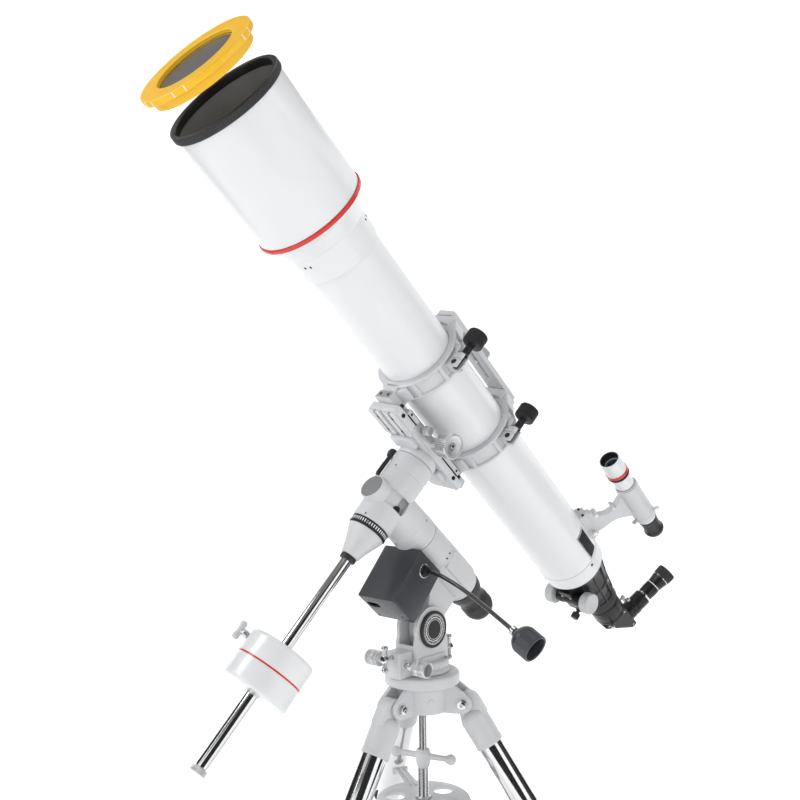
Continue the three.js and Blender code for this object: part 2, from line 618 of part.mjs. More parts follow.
function ringLower() {
  const half = RING_WIDTH / 2;
  let ring = ringBand();
  const footTop = BAR_TOP + GAP - TUBE_OFFSET;
  ring = join(ring, box(-17, 17, footTop, -76, -half + 3, half - 3));
  ring = cut(ring, box(-120, 120, SPLIT - GAP / 2, 120, -60, 60));
  ring = join(ring, cut(box(75, EAR_X + 9, -10, SPLIT - GAP / 2, -11, 11),
    box(EAR_X - 5, EAR_X + 12, -12, SPLIT + 1, -4.8, 4.8)));
  for (const side of [-1, 1]) {
    const knuckle = rod([HINGE_X, SPLIT, side * 7], [HINGE_X, SPLIT, side * 18], 7);
    const web = box(HINGE_X - 4, -75, -8, SPLIT - GAP / 2, Math.min(side * 7, side * 18),
      Math.max(side * 7, side * 18));
    ring = join(ring, cut(join(knuckle, web), disc(RING_INNER, -60, 60)));
  }
  ring = join(ring, rod([HINGE_X, SPLIT, -18], [HINGE_X, SPLIT, 18], 2.8));
  return cut(ring, disc(RING_INNER, -60, 60));
}

function ringUpper() {
  const half = RING_WIDTH / 2;
  let ring = ringBand();
  ring = join(ring, box(-30, 30, 72, PLATE_FOOT - GAP, -half + 4, half - 4));
  ring = cut(ring, box(-120, 120, -120, SPLIT + GAP / 2, -60, 60));
  ring = join(ring, cut(box(75, EAR_X + 9, SPLIT + GAP / 2, SPLIT + 14, -11, 11),
    rod([EAR_X, 0, 0], [EAR_X, 40, 0], 4.6)));
  const knuckle = rod([HINGE_X, SPLIT, -6.6], [HINGE_X, SPLIT, 6.6], 7);
  const web = box(HINGE_X, -75, SPLIT + GAP, SPLIT + 12, -6.6, 6.6);
  ring = join(ring, cut(join(knuckle, web), rod([HINGE_X, SPLIT, -20], [HINGE_X, SPLIT, 20], 3.2)));
  return cut(ring, disc(RING_INNER, -60, 60));
}

function ringKnob() {
  const bolt = rod([EAR_X, -8, 0], [EAR_X, 54, 0], 4);
  const flange = rod([EAR_X, SPLIT + 14 + GAP, 0], [EAR_X, SPLIT + 19, 0], 8);
  const grip = aboutY(turned([[0, 50], [9, 50], [11, 54], [19, 54], [20, 56], [20, 73], [18, 76], [0, 76]],
    MEDIUM)).translate([EAR_X, 0, 0]);
  return join(bolt, flange, grip);
}

function accessoryPlate() {
  const back = RING_STATIONS[1] - 22;
  const front = RING_STATIONS[0] + 22;
  const low = PLATE_FOOT;
  const high = PLATE_FOOT + 11;
  const plate = box(-23, 23, low, high, back, front);
  const slot = join(
    box(-3.6, 3.6, low - 1, high + 1, -30, 70),
    rod([0, low - 1, -30], [0, high + 1, -30], 3.6),
    rod([0, low - 1, 70], [0, high + 1, 70], 3.6),
  );
  return cut(plate, slot);
}

function cameraKnob() {
  const top = PLATE_FOOT + 11 + GAP;
  return join(
    rod([0, PLATE_FOOT - 8, 0], [0, top + 2, 0], 3.1),
    rod([0, top, 0], [0, top + 6, 0], 9),
    rod([0, top + 6, 0], [0, top + 17, 0], 15, MEDIUM),
  ).translate([0, 0, CAMERA_KNOB_STATION]);
}

// ---------------------------------------------------------------- optical tube
function mainTube() {
  return join(
    pipe(TUBE_RADIUS - TUBE_WALL, TUBE_RADIUS, TUBE_BACK, TUBE_FRONT),
    finderShoe(),
  );
}

function finderShoe() {
  const back = SHOE_STATION - 38;
  const front = SHOE_STATION + 38;
  const shoe = cut(
    box(-21, 21, TUBE_RADIUS - 6, TUBE_RADIUS + 12, back, front),
    disc(TUBE_RADIUS - 1, back - 10, front + 10),
    box(-12.5, 12.5, TUBE_RADIUS + 4, TUBE_RADIUS + 20, back - 10, front + 10),
  );
  return shoe.rotate([0, 0, -FINDER_TURN]);
}

function lensCell() {
  return turned([
    [TUBE_RADIUS + GAP, 404], [TUBE_RADIUS + 5, 404], [TUBE_RADIUS + 5.5, 452], [78, 458], [88, 486],
    [95, 494], [RED_RING_RADIUS, 496], [RED_RING_RADIUS, SHIELD_BACK - GAP], [97, SHIELD_BACK - GAP],
    [97, 520], [90, 520], [90, 500], [LENS_RADIUS + 6, 492], [LENS_RADIUS + GAP, 490],
    [LENS_RADIUS + GAP, 452], [58, 450], [58, TUBE_FRONT + GAP], [TUBE_RADIUS + GAP, TUBE_FRONT + GAP],
    [TUBE_RADIUS + GAP, 404],
  ]);
}

function objectiveLens() {
  const curve = (height, sag, way) => [0, 0.35, 0.7, 1].map((part) => [
    LENS_RADIUS * part, height + way * sag * (1 - part * part),
  ]);
  const back = curve(LENS_STATION - 12, 4, -1);
  const front = curve(LENS_STATION + 12, 6, 1).reverse();
  return turned([...back, ...front]);
}

function dewShield() {
  const front = SHIELD_FRONT;
  return turned([
    [97.4, SHIELD_BACK], [SHIELD_RADIUS, SHIELD_BACK], [SHIELD_RADIUS, front - 13],
    [RIM_RADIUS, front - 12], [RIM_RADIUS, front - 1.5], [RIM_RADIUS - 1.5, front], [94, front],
    [93, front - 3], [93, front - 26], [97.4, front - 27], [97.4, SHIELD_BACK],
  ]);
}

function filterRing() {
  const face = FILTER_STATION;
  return turned([
    [84, face - 26], [92, face - 26], [92, face - 11], [RIM_RADIUS, face - 11], [RIM_RADIUS, face - 3],
    [RIM_RADIUS - 2.5, face], [70, face], [67.5, face - 2.5], [67.5, face - 8], [84, face - 8],
    [84, face - 26],
  ]);
}

function filterFilm() {
  return disc(80, FILTER_STATION - 9.6, FILTER_STATION - 8.4);
}

function focuserBody() {
  const bore = DRAW_RADIUS + 0.4;
  const spigot = TUBE_RADIUS - TUBE_WALL - GAP;
  let body = turned([
    [bore, FOCUSER_BACK], [39, FOCUSER_BACK], [41, -686], [41, -640], [62, -552], [66, -545],
    [TUBE_RADIUS + 1, -540], [TUBE_RADIUS + 1, TUBE_BACK - GAP], [spigot, TUBE_BACK - GAP],
    [spigot, TUBE_BACK + 12], [55, TUBE_BACK + 12], [55, -552], [40, -560], [bore, -560],
    [bore, FOCUSER_BACK],
  ]);
  const pinion = rod([-34, -PINION_DROP, PINION_STATION], [34, -PINION_DROP, PINION_STATION], 15, MEDIUM);
  const block = box(-30, 30, -PINION_DROP - 14, -30, PINION_STATION - 22, PINION_STATION + 24);
  body = join(body, cut(join(pinion, block), disc(bore, -800, -500, MEDIUM)));
  return cut(body, rod([-60, -PINION_DROP, PINION_STATION], [60, -PINION_DROP, PINION_STATION], 5.4));
}

function drawTube() {
  return join(
    pipe(DRAW_RADIUS - 3, DRAW_RADIUS, DRAW_END + 20, -570, MEDIUM),
    pipe(16.2, 37, DRAW_END, FOCUSER_BACK - 6, MEDIUM),
  );
}

function focusKnobs() {
  const axle = rod([-46, 0, 0], [46, 0, 0], 5);
  const knob = aboutX(turned([[0, 38], [11, 38], [13, 44], [22, 44], [23.5, 46], [23.5, 58], [22, 60], [0, 60]],
    MEDIUM));
  return join(axle, knob, knob.mirror([1, 0, 0])).translate([0, -PINION_DROP, PINION_STATION]);
}

// The star diagonal: nose into the draw tube, prism housing, and the eyepiece socket along +Y.
function diagonal() {
  const face = DRAW_END - GAP;
  const house = prism([
    [-35, face], [-35, face - 10], [20, face - 72], [33, face - 72], [33, face],
  ], -21, 21).rotate([90, 0, 0]).rotate([0, 0, 90]);
  const nose = disc(15.8, face - 4, face + 34, MEDIUM);
  const socket = aboutY(disc(21, 30, 60, MEDIUM)).translate([0, 0, DIAGONAL_STATION]);
  const bore = aboutY(disc(16, 8, 70, MEDIUM)).translate([0, 0, DIAGONAL_STATION]);
  return cut(join(house, nose, socket), bore);
}

// Made about Z and laid along +Y, its barrel in the socket.
function eyepiece() {
  const body = turned([
    [0, 12], [15.6, 12], [15.6, 60 + GAP], [20, 60 + GAP], [20, 88], [17.5, 92], [17.5, 128], [21, 148],
    [24, 166], [24, 172], [18, 172], [13, 164], [0, 164],
  ], MEDIUM);
  return aboutY(body).translate([0, 0, DIAGONAL_STATION]);
}

// ---------------------------------------------------------------- finder
// Made in the tube's frame turned by FINDER_TURN: Y away from the tube.
function finderBracket() {
  const low = TUBE_RADIUS + 4 + GAP;
  const foot = prism([[-12, low], [12, low], [11, low + 10], [-11, low + 10]], -36, 36);
  const stem = prism([
    [low + 8, -30], [low + 8, 30], [low + 26, 10], [low + 44, 0], [FINDER_HEIGHT - 22, -8],
    [FINDER_HEIGHT - 22, -38], [low + 50, -30], [low + 24, -30],
  ], -9, 9).rotate([90, 0, 0]).rotate([0, 0, 90]);
  const base = join(foot, stem).translate([0, 0, SHOE_STATION]);
  const [back, front] = SLEEVE_STATIONS;
  const sleeve = disc(25, back, front, MEDIUM).translate([0, FINDER_HEIGHT, 0]);
  const bore = disc(FINDER_RADIUS + 0.4, back - 5, front + 5, MEDIUM).translate([0, FINDER_HEIGHT, 0]);
  return cut(join(base, sleeve), bore);
}

function finderTube() {
  const back = FINDER_BACK;
  const front = FINDER_FRONT;
  return turned([
    [0, back], [19, back], [22.5, back + 3], [22.5, back + 8], [19.5, back + 14], [19.5, back + 50],
    [FINDER_RADIUS, back + 52], [FINDER_RADIUS, front - 52], [24.5, front - 50], [24.5, front - 38],
    [23, front - 36], [20.5, front], [18.5, front], [18.5, front - 30], [0, front - 30],
  ], MEDIUM).translate([0, FINDER_HEIGHT, 0]);
}

// ---------------------------------------------------------------- assembly
const model = new THREE.Group();
model.name = "refractor_telescope";
const tripod = frame(model, { at: [0, 0, HEAD_TOP] });
mesh(tripod, "tripod_head", tripodHead(), WHITE);
mesh(tripod, "tension_rod", disc(ROD_RADIUS, -ROD_DROP, -21, SMALL), CHROME);
for (let leg = 0; leg < LEG_COUNT; leg++) addLeg(tripod, leg);
mesh(tripod, "spreader_tray", spreaderTray(), GREY);
mesh(tripod, "t_handle_nut", tHandleNut().rotate([0, 0, HANDLE_TURN]), CHROME);

mesh(tripod, "azimuth_base", azimuthBase(), WHITE);
mesh(tripod, "azimuth_knob_right", azimuthKnob(), CHROME);
mesh(tripod, "azimuth_knob_left", azimuthKnob().mirror([1, 0, 0]), CHROME);
const frontBolt = latitudeBolt(13.5, 101).translate([0, 0, LAT_BOLT_FRONT]);
const rearBolt = latitudeBolt(11, 78).rotate([0, 0, 180]).translate([0, 0, LAT_BOLT_REAR]);
mesh(tripod, "latitude_bolt_front", frontBolt, CHROME);
mesh(tripod, "latitude_bolt_rear", rearBolt, CHROME);

const tilt = frame(tripod, { at: [0, 0, PIVOT_HEIGHT], turn: [90 - LATITUDE, 0, 0] });
const polar = frame(tilt, { at: [0, RA_OFFSET, 0] });
mesh(polar, "polar_housing", polarHousing(), WHITE);
mesh(polar, "latitude_disc", latitudeAxle(), GREY);
mesh(polar, "gearbox_cover", gearCover(), CHARCOAL);
mesh(polar, "polar_scope_cap", polarCap(), BLACK);
mesh(tripod, "slow_motion_cable", slowMotionCable(), RUBBER);
const cup = frame(tripod, { at: CABLE_ROUTE.at(-1), turn: [0, CUP_TURN, 0] });
mesh(cup, "slow_motion_knob", slowMotionKnob(), CHARCOAL);

const ra = frame(polar, { at: [0, 0, DEC_STATION], turn: [0, 0, -RA_TURN] });
const dec = frame(ra, { turn: [-90, 0, 0] });
mesh(dec, "dec_housing", decHousing(), WHITE);
const lever = decClutchLever().rotate([0, 0, LEVER_AZIMUTH - 90]).translate([0, 0, LEVER_HEIGHT]);
mesh(dec, "dec_clutch_lever", lever, BLACK);
mesh(dec, "dec_setting_circle", settingCircle(), BLACK);
mesh(dec, "dec_nosepiece", nosepiece(), WHITE);
mesh(dec, "counterweight_shaft", weightShaft(), CHROME);
const weight = frame(dec, { turn: [0, 0, WEIGHT_SCREW_TURN] });
mesh(weight, "counterweight", counterweight(), WHITE);
mesh(weight, "counterweight_screw", counterweightScrew(), CHROME);
mesh(dec, "shaft_end_cap", shaftEndCap(), CHROME);

const head = frame(dec, { turn: [0, 0, DEC_TURN] });
mesh(head, "saddle", saddle(), WHITE);
mesh(head, "saddle_knob_large", clampKnob(CLAMP_LARGE, 24, 68, 96), CHROME);
mesh(head, "saddle_knob_small", clampKnob(CLAMP_SMALL, 9, 46, 60), CHROME);
mesh(head, "dovetail_plate", dovetailBar(), GREY);

const tube = frame(head, { at: [0, 0, TUBE_OFFSET], turn: [90, 0, 0] });
["front", "rear"].forEach((place, index) => {
  const ring = frame(tube, { at: [0, 0, RING_STATIONS[index]] });
  mesh(ring, `ring_${place}_lower`, ringLower(), WHITE);
  mesh(ring, `ring_${place}_upper`, ringUpper(), WHITE);
  mesh(ring, `ring_knob_${place}`, ringKnob(), BLACK);
});
mesh(tube, "accessory_plate", accessoryPlate(), WHITE);
mesh(tube, "camera_knob", cameraKnob(), BLACK);
mesh(tube, "main_tube", mainTube(), WHITE);
mesh(tube, "lens_cell", lensCell(), WHITE);
mesh(tube, "objective_lens", objectiveLens(), GLASS);
mesh(tube, "dew_shield", dewShield(), WHITE);
mesh(tube, "solar_filter_ring", filterRing(), YELLOW);
mesh(tube, "solar_film", filterFilm(), FILM);
mesh(tube, "focuser_body", focuserBody(), BLACK);
mesh(tube, "drawtube", drawTube(), BLACK);
mesh(tube, "focus_knobs", focusKnobs(), GREY);
const star = frame(tube, { turn: [0, 0, -EYEPIECE_TURN] });
mesh(star, "diagonal", diagonal(), BLACK);
mesh(star, "eyepiece", eyepiece(), BLACK);
const finder = frame(tube, { turn: [0, 0, -FINDER_TURN] });
mesh(finder, "finder_bracket", finderBracket(), WHITE);
mesh(finder, "finder_tube", finderTube(), WHITE);

// The origin goes to the middle of the footprint, on the floor.
model.updateMatrixWorld(true);
const bounds = new THREE.Box3().setFromObject(model, true);
const centre = bounds.getCenter(new THREE.Vector3());
model.position.set(-centre.x, -centre.y, -bounds.min.z);

export default model;
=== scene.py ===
"""Refractor telescope on an equatorial mount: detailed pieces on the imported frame."""
import json
import math

import bmesh
import bpy
from mathutils import Matrix, Vector


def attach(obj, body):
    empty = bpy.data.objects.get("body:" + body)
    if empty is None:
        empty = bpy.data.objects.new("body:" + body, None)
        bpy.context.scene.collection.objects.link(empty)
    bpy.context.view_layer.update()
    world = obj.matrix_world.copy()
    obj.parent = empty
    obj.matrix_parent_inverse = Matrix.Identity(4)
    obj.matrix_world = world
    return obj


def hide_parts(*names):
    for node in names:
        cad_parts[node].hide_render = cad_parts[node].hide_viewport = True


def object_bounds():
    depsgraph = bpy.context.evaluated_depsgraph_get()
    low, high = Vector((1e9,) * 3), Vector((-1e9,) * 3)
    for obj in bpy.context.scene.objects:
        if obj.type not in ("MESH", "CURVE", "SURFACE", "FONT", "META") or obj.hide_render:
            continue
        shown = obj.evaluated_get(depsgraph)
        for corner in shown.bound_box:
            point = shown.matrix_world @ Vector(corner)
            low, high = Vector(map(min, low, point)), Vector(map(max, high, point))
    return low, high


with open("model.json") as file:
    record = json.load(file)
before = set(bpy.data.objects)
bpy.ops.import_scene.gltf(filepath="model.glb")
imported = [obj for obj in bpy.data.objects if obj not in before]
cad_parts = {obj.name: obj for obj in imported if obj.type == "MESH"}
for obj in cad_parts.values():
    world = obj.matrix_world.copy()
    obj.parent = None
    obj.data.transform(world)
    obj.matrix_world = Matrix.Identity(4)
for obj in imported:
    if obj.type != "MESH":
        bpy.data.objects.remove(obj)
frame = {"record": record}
CAD_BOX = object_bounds()
JOINTS = {joint["name"]: joint for joint in frame["record"]["behaviour"]["joints"]}
MM = 0.001

# Sizes that several pieces share, in millimetres where no other unit is named
DEC_STATION = 0.231  # metres along the polar axis, from the latitude pivot to the declination axis
TUBE_HEIGHT = 0.240  # metres along the declination axis, up to the tube's axis
FINDER_TURN = -32  # degrees round the tube
LEG_SPREAD = math.radians(32)
PEG_REACH = 66  # from the tripod's axis to the azimuth peg
LEG_PIVOT_RADIUS, LEG_PIVOT_DROP = 82, 54  # from the tripod's axis and its head
TRAY_DROP = 246  # below the tripod head
HEAD_TOP = 700  # of the tripod head, above the floor
RA_OFFSET = 124  # from the latitude pivot square to the polar axis
TAIL_LENGTH = 56  # of the polar arm, below the pivot
TILT = math.radians(48.5)  # of the polar axis from upright
CLAMP_HEIGHT = 132.8  # of the dovetail's two clamp screws, along the declination axis
RING_HEIGHTS = {"front": 130, "rear": -79}  # along the tube
LEG_TURNS = (-90, 30, 150)  # degrees round the tripod


# ------------------------------------------------------------------ frames
def axis(joint):
    return Vector(JOINTS[joint]["axis"]).normalized()


def place(joint):
    return Vector(JOINTS[joint]["pos_m"])


def basis(origin, x, y, z):
    """Matrix from a local frame in millimetres to the row frame in metres."""
    m = Matrix((x, y, z)).transposed().to_4x4() @ Matrix.Scale(MM, 4)
    m.translation = origin
    return m


X, Y, Z = Vector((1, 0, 0)), Vector((0, 1, 0)), Vector((0, 0, 1))
TRIPOD = basis(place("azimuth"), X, Y, Z)
POLE = axis("right_ascension")
DEC_ORIGIN = place("declination")
POLAR = basis(DEC_ORIGIN - POLE * DEC_STATION, X, POLE.cross(X), POLE)
DEC_UP = axis("declination")
DEC = basis(DEC_ORIGIN, (-POLE).cross(DEC_UP), -POLE, DEC_UP)
SCREW = axis("counterweight_screw_turn")
WEIGHT = basis(DEC_ORIGIN, (-SCREW).cross(DEC_UP), -SCREW, DEC_UP)
SIDE = axis("saddle_knob_large_turn")
HEAD = basis(DEC_ORIGIN, SIDE, DEC_UP.cross(SIDE), DEC_UP)
TUBE_UP = axis("tube_slide")
TUBE_ORIGIN = DEC_ORIGIN + DEC_UP * TUBE_HEIGHT
TUBE = basis(TUBE_ORIGIN, SIDE, DEC_UP, TUBE_UP)
STAR_UP = axis("eyepiece_pull")
STAR = basis(TUBE_ORIGIN, STAR_UP.cross(TUBE_UP), STAR_UP, TUBE_UP)
FINDER = TUBE @ Matrix.Rotation(math.radians(FINDER_TURN), 4, "Z")
CUP_AXIS = axis("slow_motion_turn")
CUP = basis(place("slow_motion_turn"), Y.cross(CUP_AXIS), Y, CUP_AXIS)
HIPS = [basis(place(f"leg_{i}_fold"), axis(f"leg_{i}_fold").cross(axis(f"leg_{i}_extend")),
    axis(f"leg_{i}_fold"), axis(f"leg_{i}_extend")) for i in (1, 2, 3)]


def shift(matrix, x=0.0, y=0.0, z=0.0):
    return matrix @ Matrix.Translation((x, y, z))


def spin(matrix, degrees, about="Z"):
    return matrix @ Matrix.Rotation(math.radians(degrees), 4, about)


def put(name, data):
    """Makes an object of some data and puts it in the scene."""
    obj = bpy.data.objects.new(name, data)
    bpy.context.scene.collection.objects.link(obj)
    return obj


# ------------------------------------------------------------------ camera
CAMERA_FROM_TRIPOD = Vector((1.3138, -1.4090, 0.5216))
CAMERA_HEADING = Vector((-0.69403, 0.71994, -0.0005))
CAMERA_ROLL = math.radians(-0.65)
camera_data = bpy.data.cameras.new("camera")
camera_data.lens = 45.1
camera_data.sensor_width = 36
camera_data.shift_x = -0.0030
camera_data.shift_y = -0.0008
camera = put("camera", camera_data)
bpy.context.scene.camera = camera
camera.location = place("azimuth") + CAMERA_FROM_TRIPOD
camera.rotation_mode = "QUATERNION"
camera.rotation_quaternion = (CAMERA_HEADING.to_track_quat("-Z", "Y") @ Matrix.Rotation(CAMERA_ROLL, 3,
    "Z").to_quaternion())


# ------------------------------------------------------------------ materials
def preset(node, **values):
    """Sets a node's inputs by name, with an underscore for a space."""
    for name, value in values.items():
        node.inputs[name.replace("_", " ")].default_value = value


def finish(name, color, roughness, metallic=0.0, coat=0.0, mottle=0.03, mottle_scale=18.0, grain=0.0,
        grain_scale=900.0, stretch=None, roughness_spread=0.05):
    """A procedural finish: soft colour mottling, uneven gloss and a fine surface grain."""
    mat = bpy.data.materials.new(name)
    mat.use_nodes = True
    nodes, links = mat.node_tree.nodes, mat.node_tree.links
    shader = nodes["Principled BSDF"]
    preset(shader, Metallic=metallic, Coat_Weight=coat, Coat_Roughness=0.1)
    where = nodes.new("ShaderNodeTexCoord")
    source = where.outputs["Object"]
    if stretch:
        mapping = nodes.new("ShaderNodeMapping")
        preset(mapping, Scale=stretch)
        links.new(source, mapping.inputs["Vector"])
        source = mapping.outputs["Vector"]
    cloud = nodes.new("ShaderNodeTexNoise")
    preset(cloud, Scale=mottle_scale, Detail=5)
    links.new(source, cloud.inputs["Vector"])
    mix = nodes.new("ShaderNodeMix")
    mix.data_type = "RGBA"
    preset(mix, A=(*(c * (1 - mottle) for c in color), 1), B=(*(c * (1 + mottle) for c in color), 1))
    links.new(cloud.outputs["Fac"], mix.inputs["Factor"])
    links.new(mix.outputs["Result"], shader.inputs["Base Color"])
    spread = nodes.new("ShaderNodeMapRange")
    preset(spread, From_Min=0.3, From_Max=0.7, To_Min=max(0.02, roughness - roughness_spread),
        To_Max=roughness + roughness_spread)
    links.new(cloud.outputs["Fac"], spread.inputs["Value"])
    links.new(spread.outputs["Result"], shader.inputs["Roughness"])
    if grain:
        fine = nodes.new("ShaderNodeTexNoise")
        preset(fine, Scale=grain_scale, Detail=3)
        links.new(source, fine.inputs["Vector"])
        bump = nodes.new("ShaderNodeBump")
        preset(bump, Strength=grain, Distance=0.0004)
        links.new(fine.outputs["Fac"], bump.inputs["Height"])
        links.new(bump.outputs["Normal"], shader.inputs["Normal"])
    return mat


WHITE = finish("white_lacquer", (0.70, 0.715, 0.73), 0.30, coat=0.3, grain=0.03, mottle=0.006,
    roughness_spread=0.01)
CAST = finish("white_casting", (0.55, 0.56, 0.575), 0.42, coat=0.12, grain=0.2, grain_scale=700,
    mottle=0.012, roughness_spread=0.02)
BLACK = finish("black_anodised", (0.018, 0.018, 0.020), 0.33, metallic=0.35, grain=0.12, grain_scale=1300,
    mottle=0.25)
MATT = finish("matt_black", (0.012, 0.012, 0.013), 0.7, grain=0.2, mottle=0.2)
PLASTIC = finish("black_plastic", (0.020, 0.020, 0.022), 0.42, grain=0.3, grain_scale=1500, mottle=0.2)
RUBBER = finish("black_rubber", (0.022, 0.022, 0.024), 0.62, grain=0.35, grain_scale=1100, mottle=0.2)
CHARCOAL = finish("charcoal_plastic", (0.040, 0.044, 0.050), 0.36, coat=0.08, grain=0.15, grain_scale=1400,
    mottle=0.06)
CHROME = finish("polished_steel", (0.74, 0.74, 0.75), 0.09, metallic=1.0, roughness_spread=0.03)
STEEL = finish("turned_steel", (0.60, 0.60, 0.61), 0.26, metallic=1.0, grain=0.25, grain_scale=260,
    stretch=(1, 1, 7), roughness_spread=0.08)
SATIN = finish("satin_aluminium", (0.72, 0.73, 0.74), 0.34, metallic=0.85, grain=0.3, grain_scale=1000,
    mottle=0.04)
PALE = finish("pale_grey_paint", (0.50, 0.51, 0.52), 0.36, coat=0.2, grain=0.1)
GREY = finish("mid_grey_paint", (0.20, 0.205, 0.21), 0.42, coat=0.1, grain=0.1)
SHEATH = finish("cable_sheath", (0.010, 0.010, 0.011), 0.16, coat=0.9, mottle=0.2)
RED = finish("red_anodised", (0.62, 0.020, 0.012), 0.28, coat=0.3, mottle=0.06)
YELLOW = finish("yellow_anodised", (0.82, 0.46, 0.004), 0.42, coat=0.05, grain=0.12, mottle=0.04)
FOIL = finish("solar_foil", (0.135, 0.135, 0.145), 0.38, metallic=0.35, mottle=0.08, mottle_scale=22,
    grain=0.15, grain_scale=60)
LINING = finish("inner_grey", (0.30, 0.31, 0.315), 0.5, grain=0.15, mottle=0.1)
COATED = finish("coated_glass", (0.020, 0.035, 0.045), 0.06, coat=1.0, mottle=0.1)
MARKS = finish("white_print", (0.80, 0.80, 0.80), 0.5, mottle=0.02)
FLOOR = finish("studio_floor", (0.88, 0.88, 0.88), 0.8, mottle=0.004, mottle_scale=2)
floor_nodes, floor_links = FLOOR.node_tree.nodes, FLOOR.node_tree.links
floor_shader = floor_nodes["Principled BSDF"]
# The floor glows as a backdrop, more dimly towards its middle: painted shade on the floor round the
# telescope.
preset(floor_shader, Emission_Strength=0.52)
floor_place = floor_nodes.new("ShaderNodeTexCoord")
floor_reach = floor_nodes.new("ShaderNodeVectorMath")
floor_reach.operation = "LENGTH"
floor_links.new(floor_place.outputs["Object"], floor_reach.inputs[0])
floor_shade_ramp = floor_nodes.new("ShaderNodeMapRange")
preset(floor_shade_ramp, From_Min=-0.6, From_Max=1.4)
floor_links.new(floor_reach.outputs["Value"], floor_shade_ramp.inputs["Value"])
floor_links.new(floor_shade_ramp.outputs["Result"], floor_shader.inputs["Emission Color"])
FLAG = finish("black_flag_cloth", (0.01, 0.01, 0.01), 0.95, grain=0.3)


# ------------------------------------------------------------------ mesh building
SHARP_ANGLE = math.radians(35)
PRINT_LIFT = 0.15  # of printed marks above their drum


def rounded(points, radius, steps, closed):
    """Rounds the corners of a polyline with short arcs."""
    count = len(points)
    out = []
    for i, here in enumerate(points):
        here = Vector(here)
        if not closed and i in (0, count - 1):
            out.append(here)
            continue
        before = Vector(points[i - 1])
        after = Vector(points[(i + 1) % count])
        back, on = before - here, after - here
        if back.length < 1e-6 or on.length < 1e-6:
            continue
        reach = min(radius, back.length * 0.45, on.length * 0.45)
        start, end = here + back.normalized() * reach, here + on.normalized() * reach
        if back.normalized().dot(on.normalized()) < -0.995 or reach < 0.02:
            out.append(here)
            continue
        for step in range(steps + 1):
            t = step / steps
            out.append(start * (1 - t) ** 2 + here * 2 * t * (1 - t) + end * t ** 2)
    return out


def add(name, bm, matrix, mat, body, stands_for=()):
    """Makes a piece of a bmesh in local millimetres, and puts it on its body."""
    mesh = bpy.data.meshes.new(name)
    bmesh.ops.recalc_face_normals(bm, faces=bm.faces)
    bm.to_mesh(mesh)
    bm.free()
    mesh.transform(matrix)
    return wrap(name, mesh, mat, body, stands_for)


def shade(mesh, mat):
    """Gives a mesh its one material, and smooth shading between its sharp edges."""
    mesh.materials.clear()
    mesh.materials.append(mat)
    mesh.polygons.foreach_set("use_smooth", [True] * len(mesh.polygons))
    mesh.set_sharp_from_angle(angle=SHARP_ANGLE)


def wrap(name, mesh, mat, body, stands_for=()):
    """Makes a piece of a mesh, with its material, its body and the nodes it stands for."""
    obj = put(name, mesh)
    shade(mesh, mat)
    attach(obj, body)
    for node in [stands_for] if isinstance(stands_for, str) else stands_for:
        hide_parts(node)
    return obj


def around(reach, turn, height):
    """A point about local Z, at an angle in radians."""
    return reach * math.cos(turn), reach * math.sin(turn), height


def skin(bm, rings, sides):
    """Faces between neighbouring rings of vertices, any of which may be a single point."""
    for low, high in zip(rings, rings[1:]):
        if len(low) == 1 and len(high) == 1:
            continue
        for k in range(sides):
            n = (k + 1) % sides
            if len(low) == 1:
                bm.faces.new((low[0], high[n], high[k]))
            elif len(high) == 1:
                bm.faces.new((low[k], low[n], high[0]))
            else:
                bm.faces.new((low[k], low[n], high[n], high[k]))


def lathe(name, profile, matrix, mat, body, stands_for=(), sides=96, corner=0.8, closed=False, ribs=None):
    """A piece turned about local Z. ribs = (count, depth, low, high, least radius) cuts flutes."""
    line = rounded(profile, corner, 3, closed)
    if ribs:
        sides = max(sides, ribs[0] * 8)
    bm = bmesh.new()
    rings = []
    for point in line:
        radius, height = point[0], point[1]
        if radius < 1e-6:
            rings.append([bm.verts.new((0, 0, height))])
            continue
        ring = []
        for k in range(sides):
            turn = 2 * math.pi * k / sides
            reach = radius
            if ribs and ribs[2] - 1e-3 <= height <= ribs[3] + 1e-3 and radius > ribs[4]:
                reach -= ribs[1] * (0.5 - 0.5 * math.cos(turn * ribs[0])) ** 2
            ring.append(bm.verts.new(around(reach, turn, height)))
        rings.append(ring)
    if closed:
        rings.append(rings[0])
    skin(bm, rings, sides)
    return add(name, bm, matrix, mat, body, stands_for)


def hoop(*where, **looks):
    """A hollow piece turned about local Z, whose profile closes on itself."""
    return lathe(*where, closed=True, **looks)


def span(side, near, far):
    """The two ends of a stretch on one side of the middle, the lower one first."""
    return sorted((side * near, side * far))


def band(left, right, low, high):
    """The four corners of an upright rectangle."""
    return [(left, low), (right, low), (right, high), (left, high)]


def arc_sweep(name, profile, start, end, matrix, mat, body, stands_for=(), sides=80, corner=1.0):
    """A closed profile of radius and height, swept round local Z between two angles, with flat ends."""
    line = rounded(profile, corner, 3, True)
    bm = bmesh.new()
    rows = []
    for k in range(sides + 1):
        turn = math.radians(start + (end - start) * k / sides)
        rows.append([bm.verts.new(around(p[0], turn, p[1])) for p in line])
    skin(bm, rows, len(line))
    bm.faces.new(rows[0])
    bm.faces.new(rows[-1])
    return add(name, bm, matrix, mat, body, stands_for)


def flat(matrix):
    """Local frame whose X and Y lie along the outer X and Z, and whose Z is the outer -Y."""
    return spin(matrix, 90, "X")


def circle(x, y, radius, count, start=0.0, end=360.0):
    """Points on a circle or an arc, in degrees."""
    whole = abs(end - start) > 359.9
    total = count if whole else count - 1
    turns = [math.radians(start + (end - start) * k / total) for k in range(count)]
    return [(x + radius * math.cos(t), y + radius * math.sin(t)) for t in turns]


def evaluated(obj):
    """A mesh of an object as it stands, with its modifiers or its curve's thickness."""
    bpy.context.view_layer.update()
    return bpy.data.meshes.new_from_object(obj.evaluated_get(bpy.context.evaluated_depsgraph_get()))


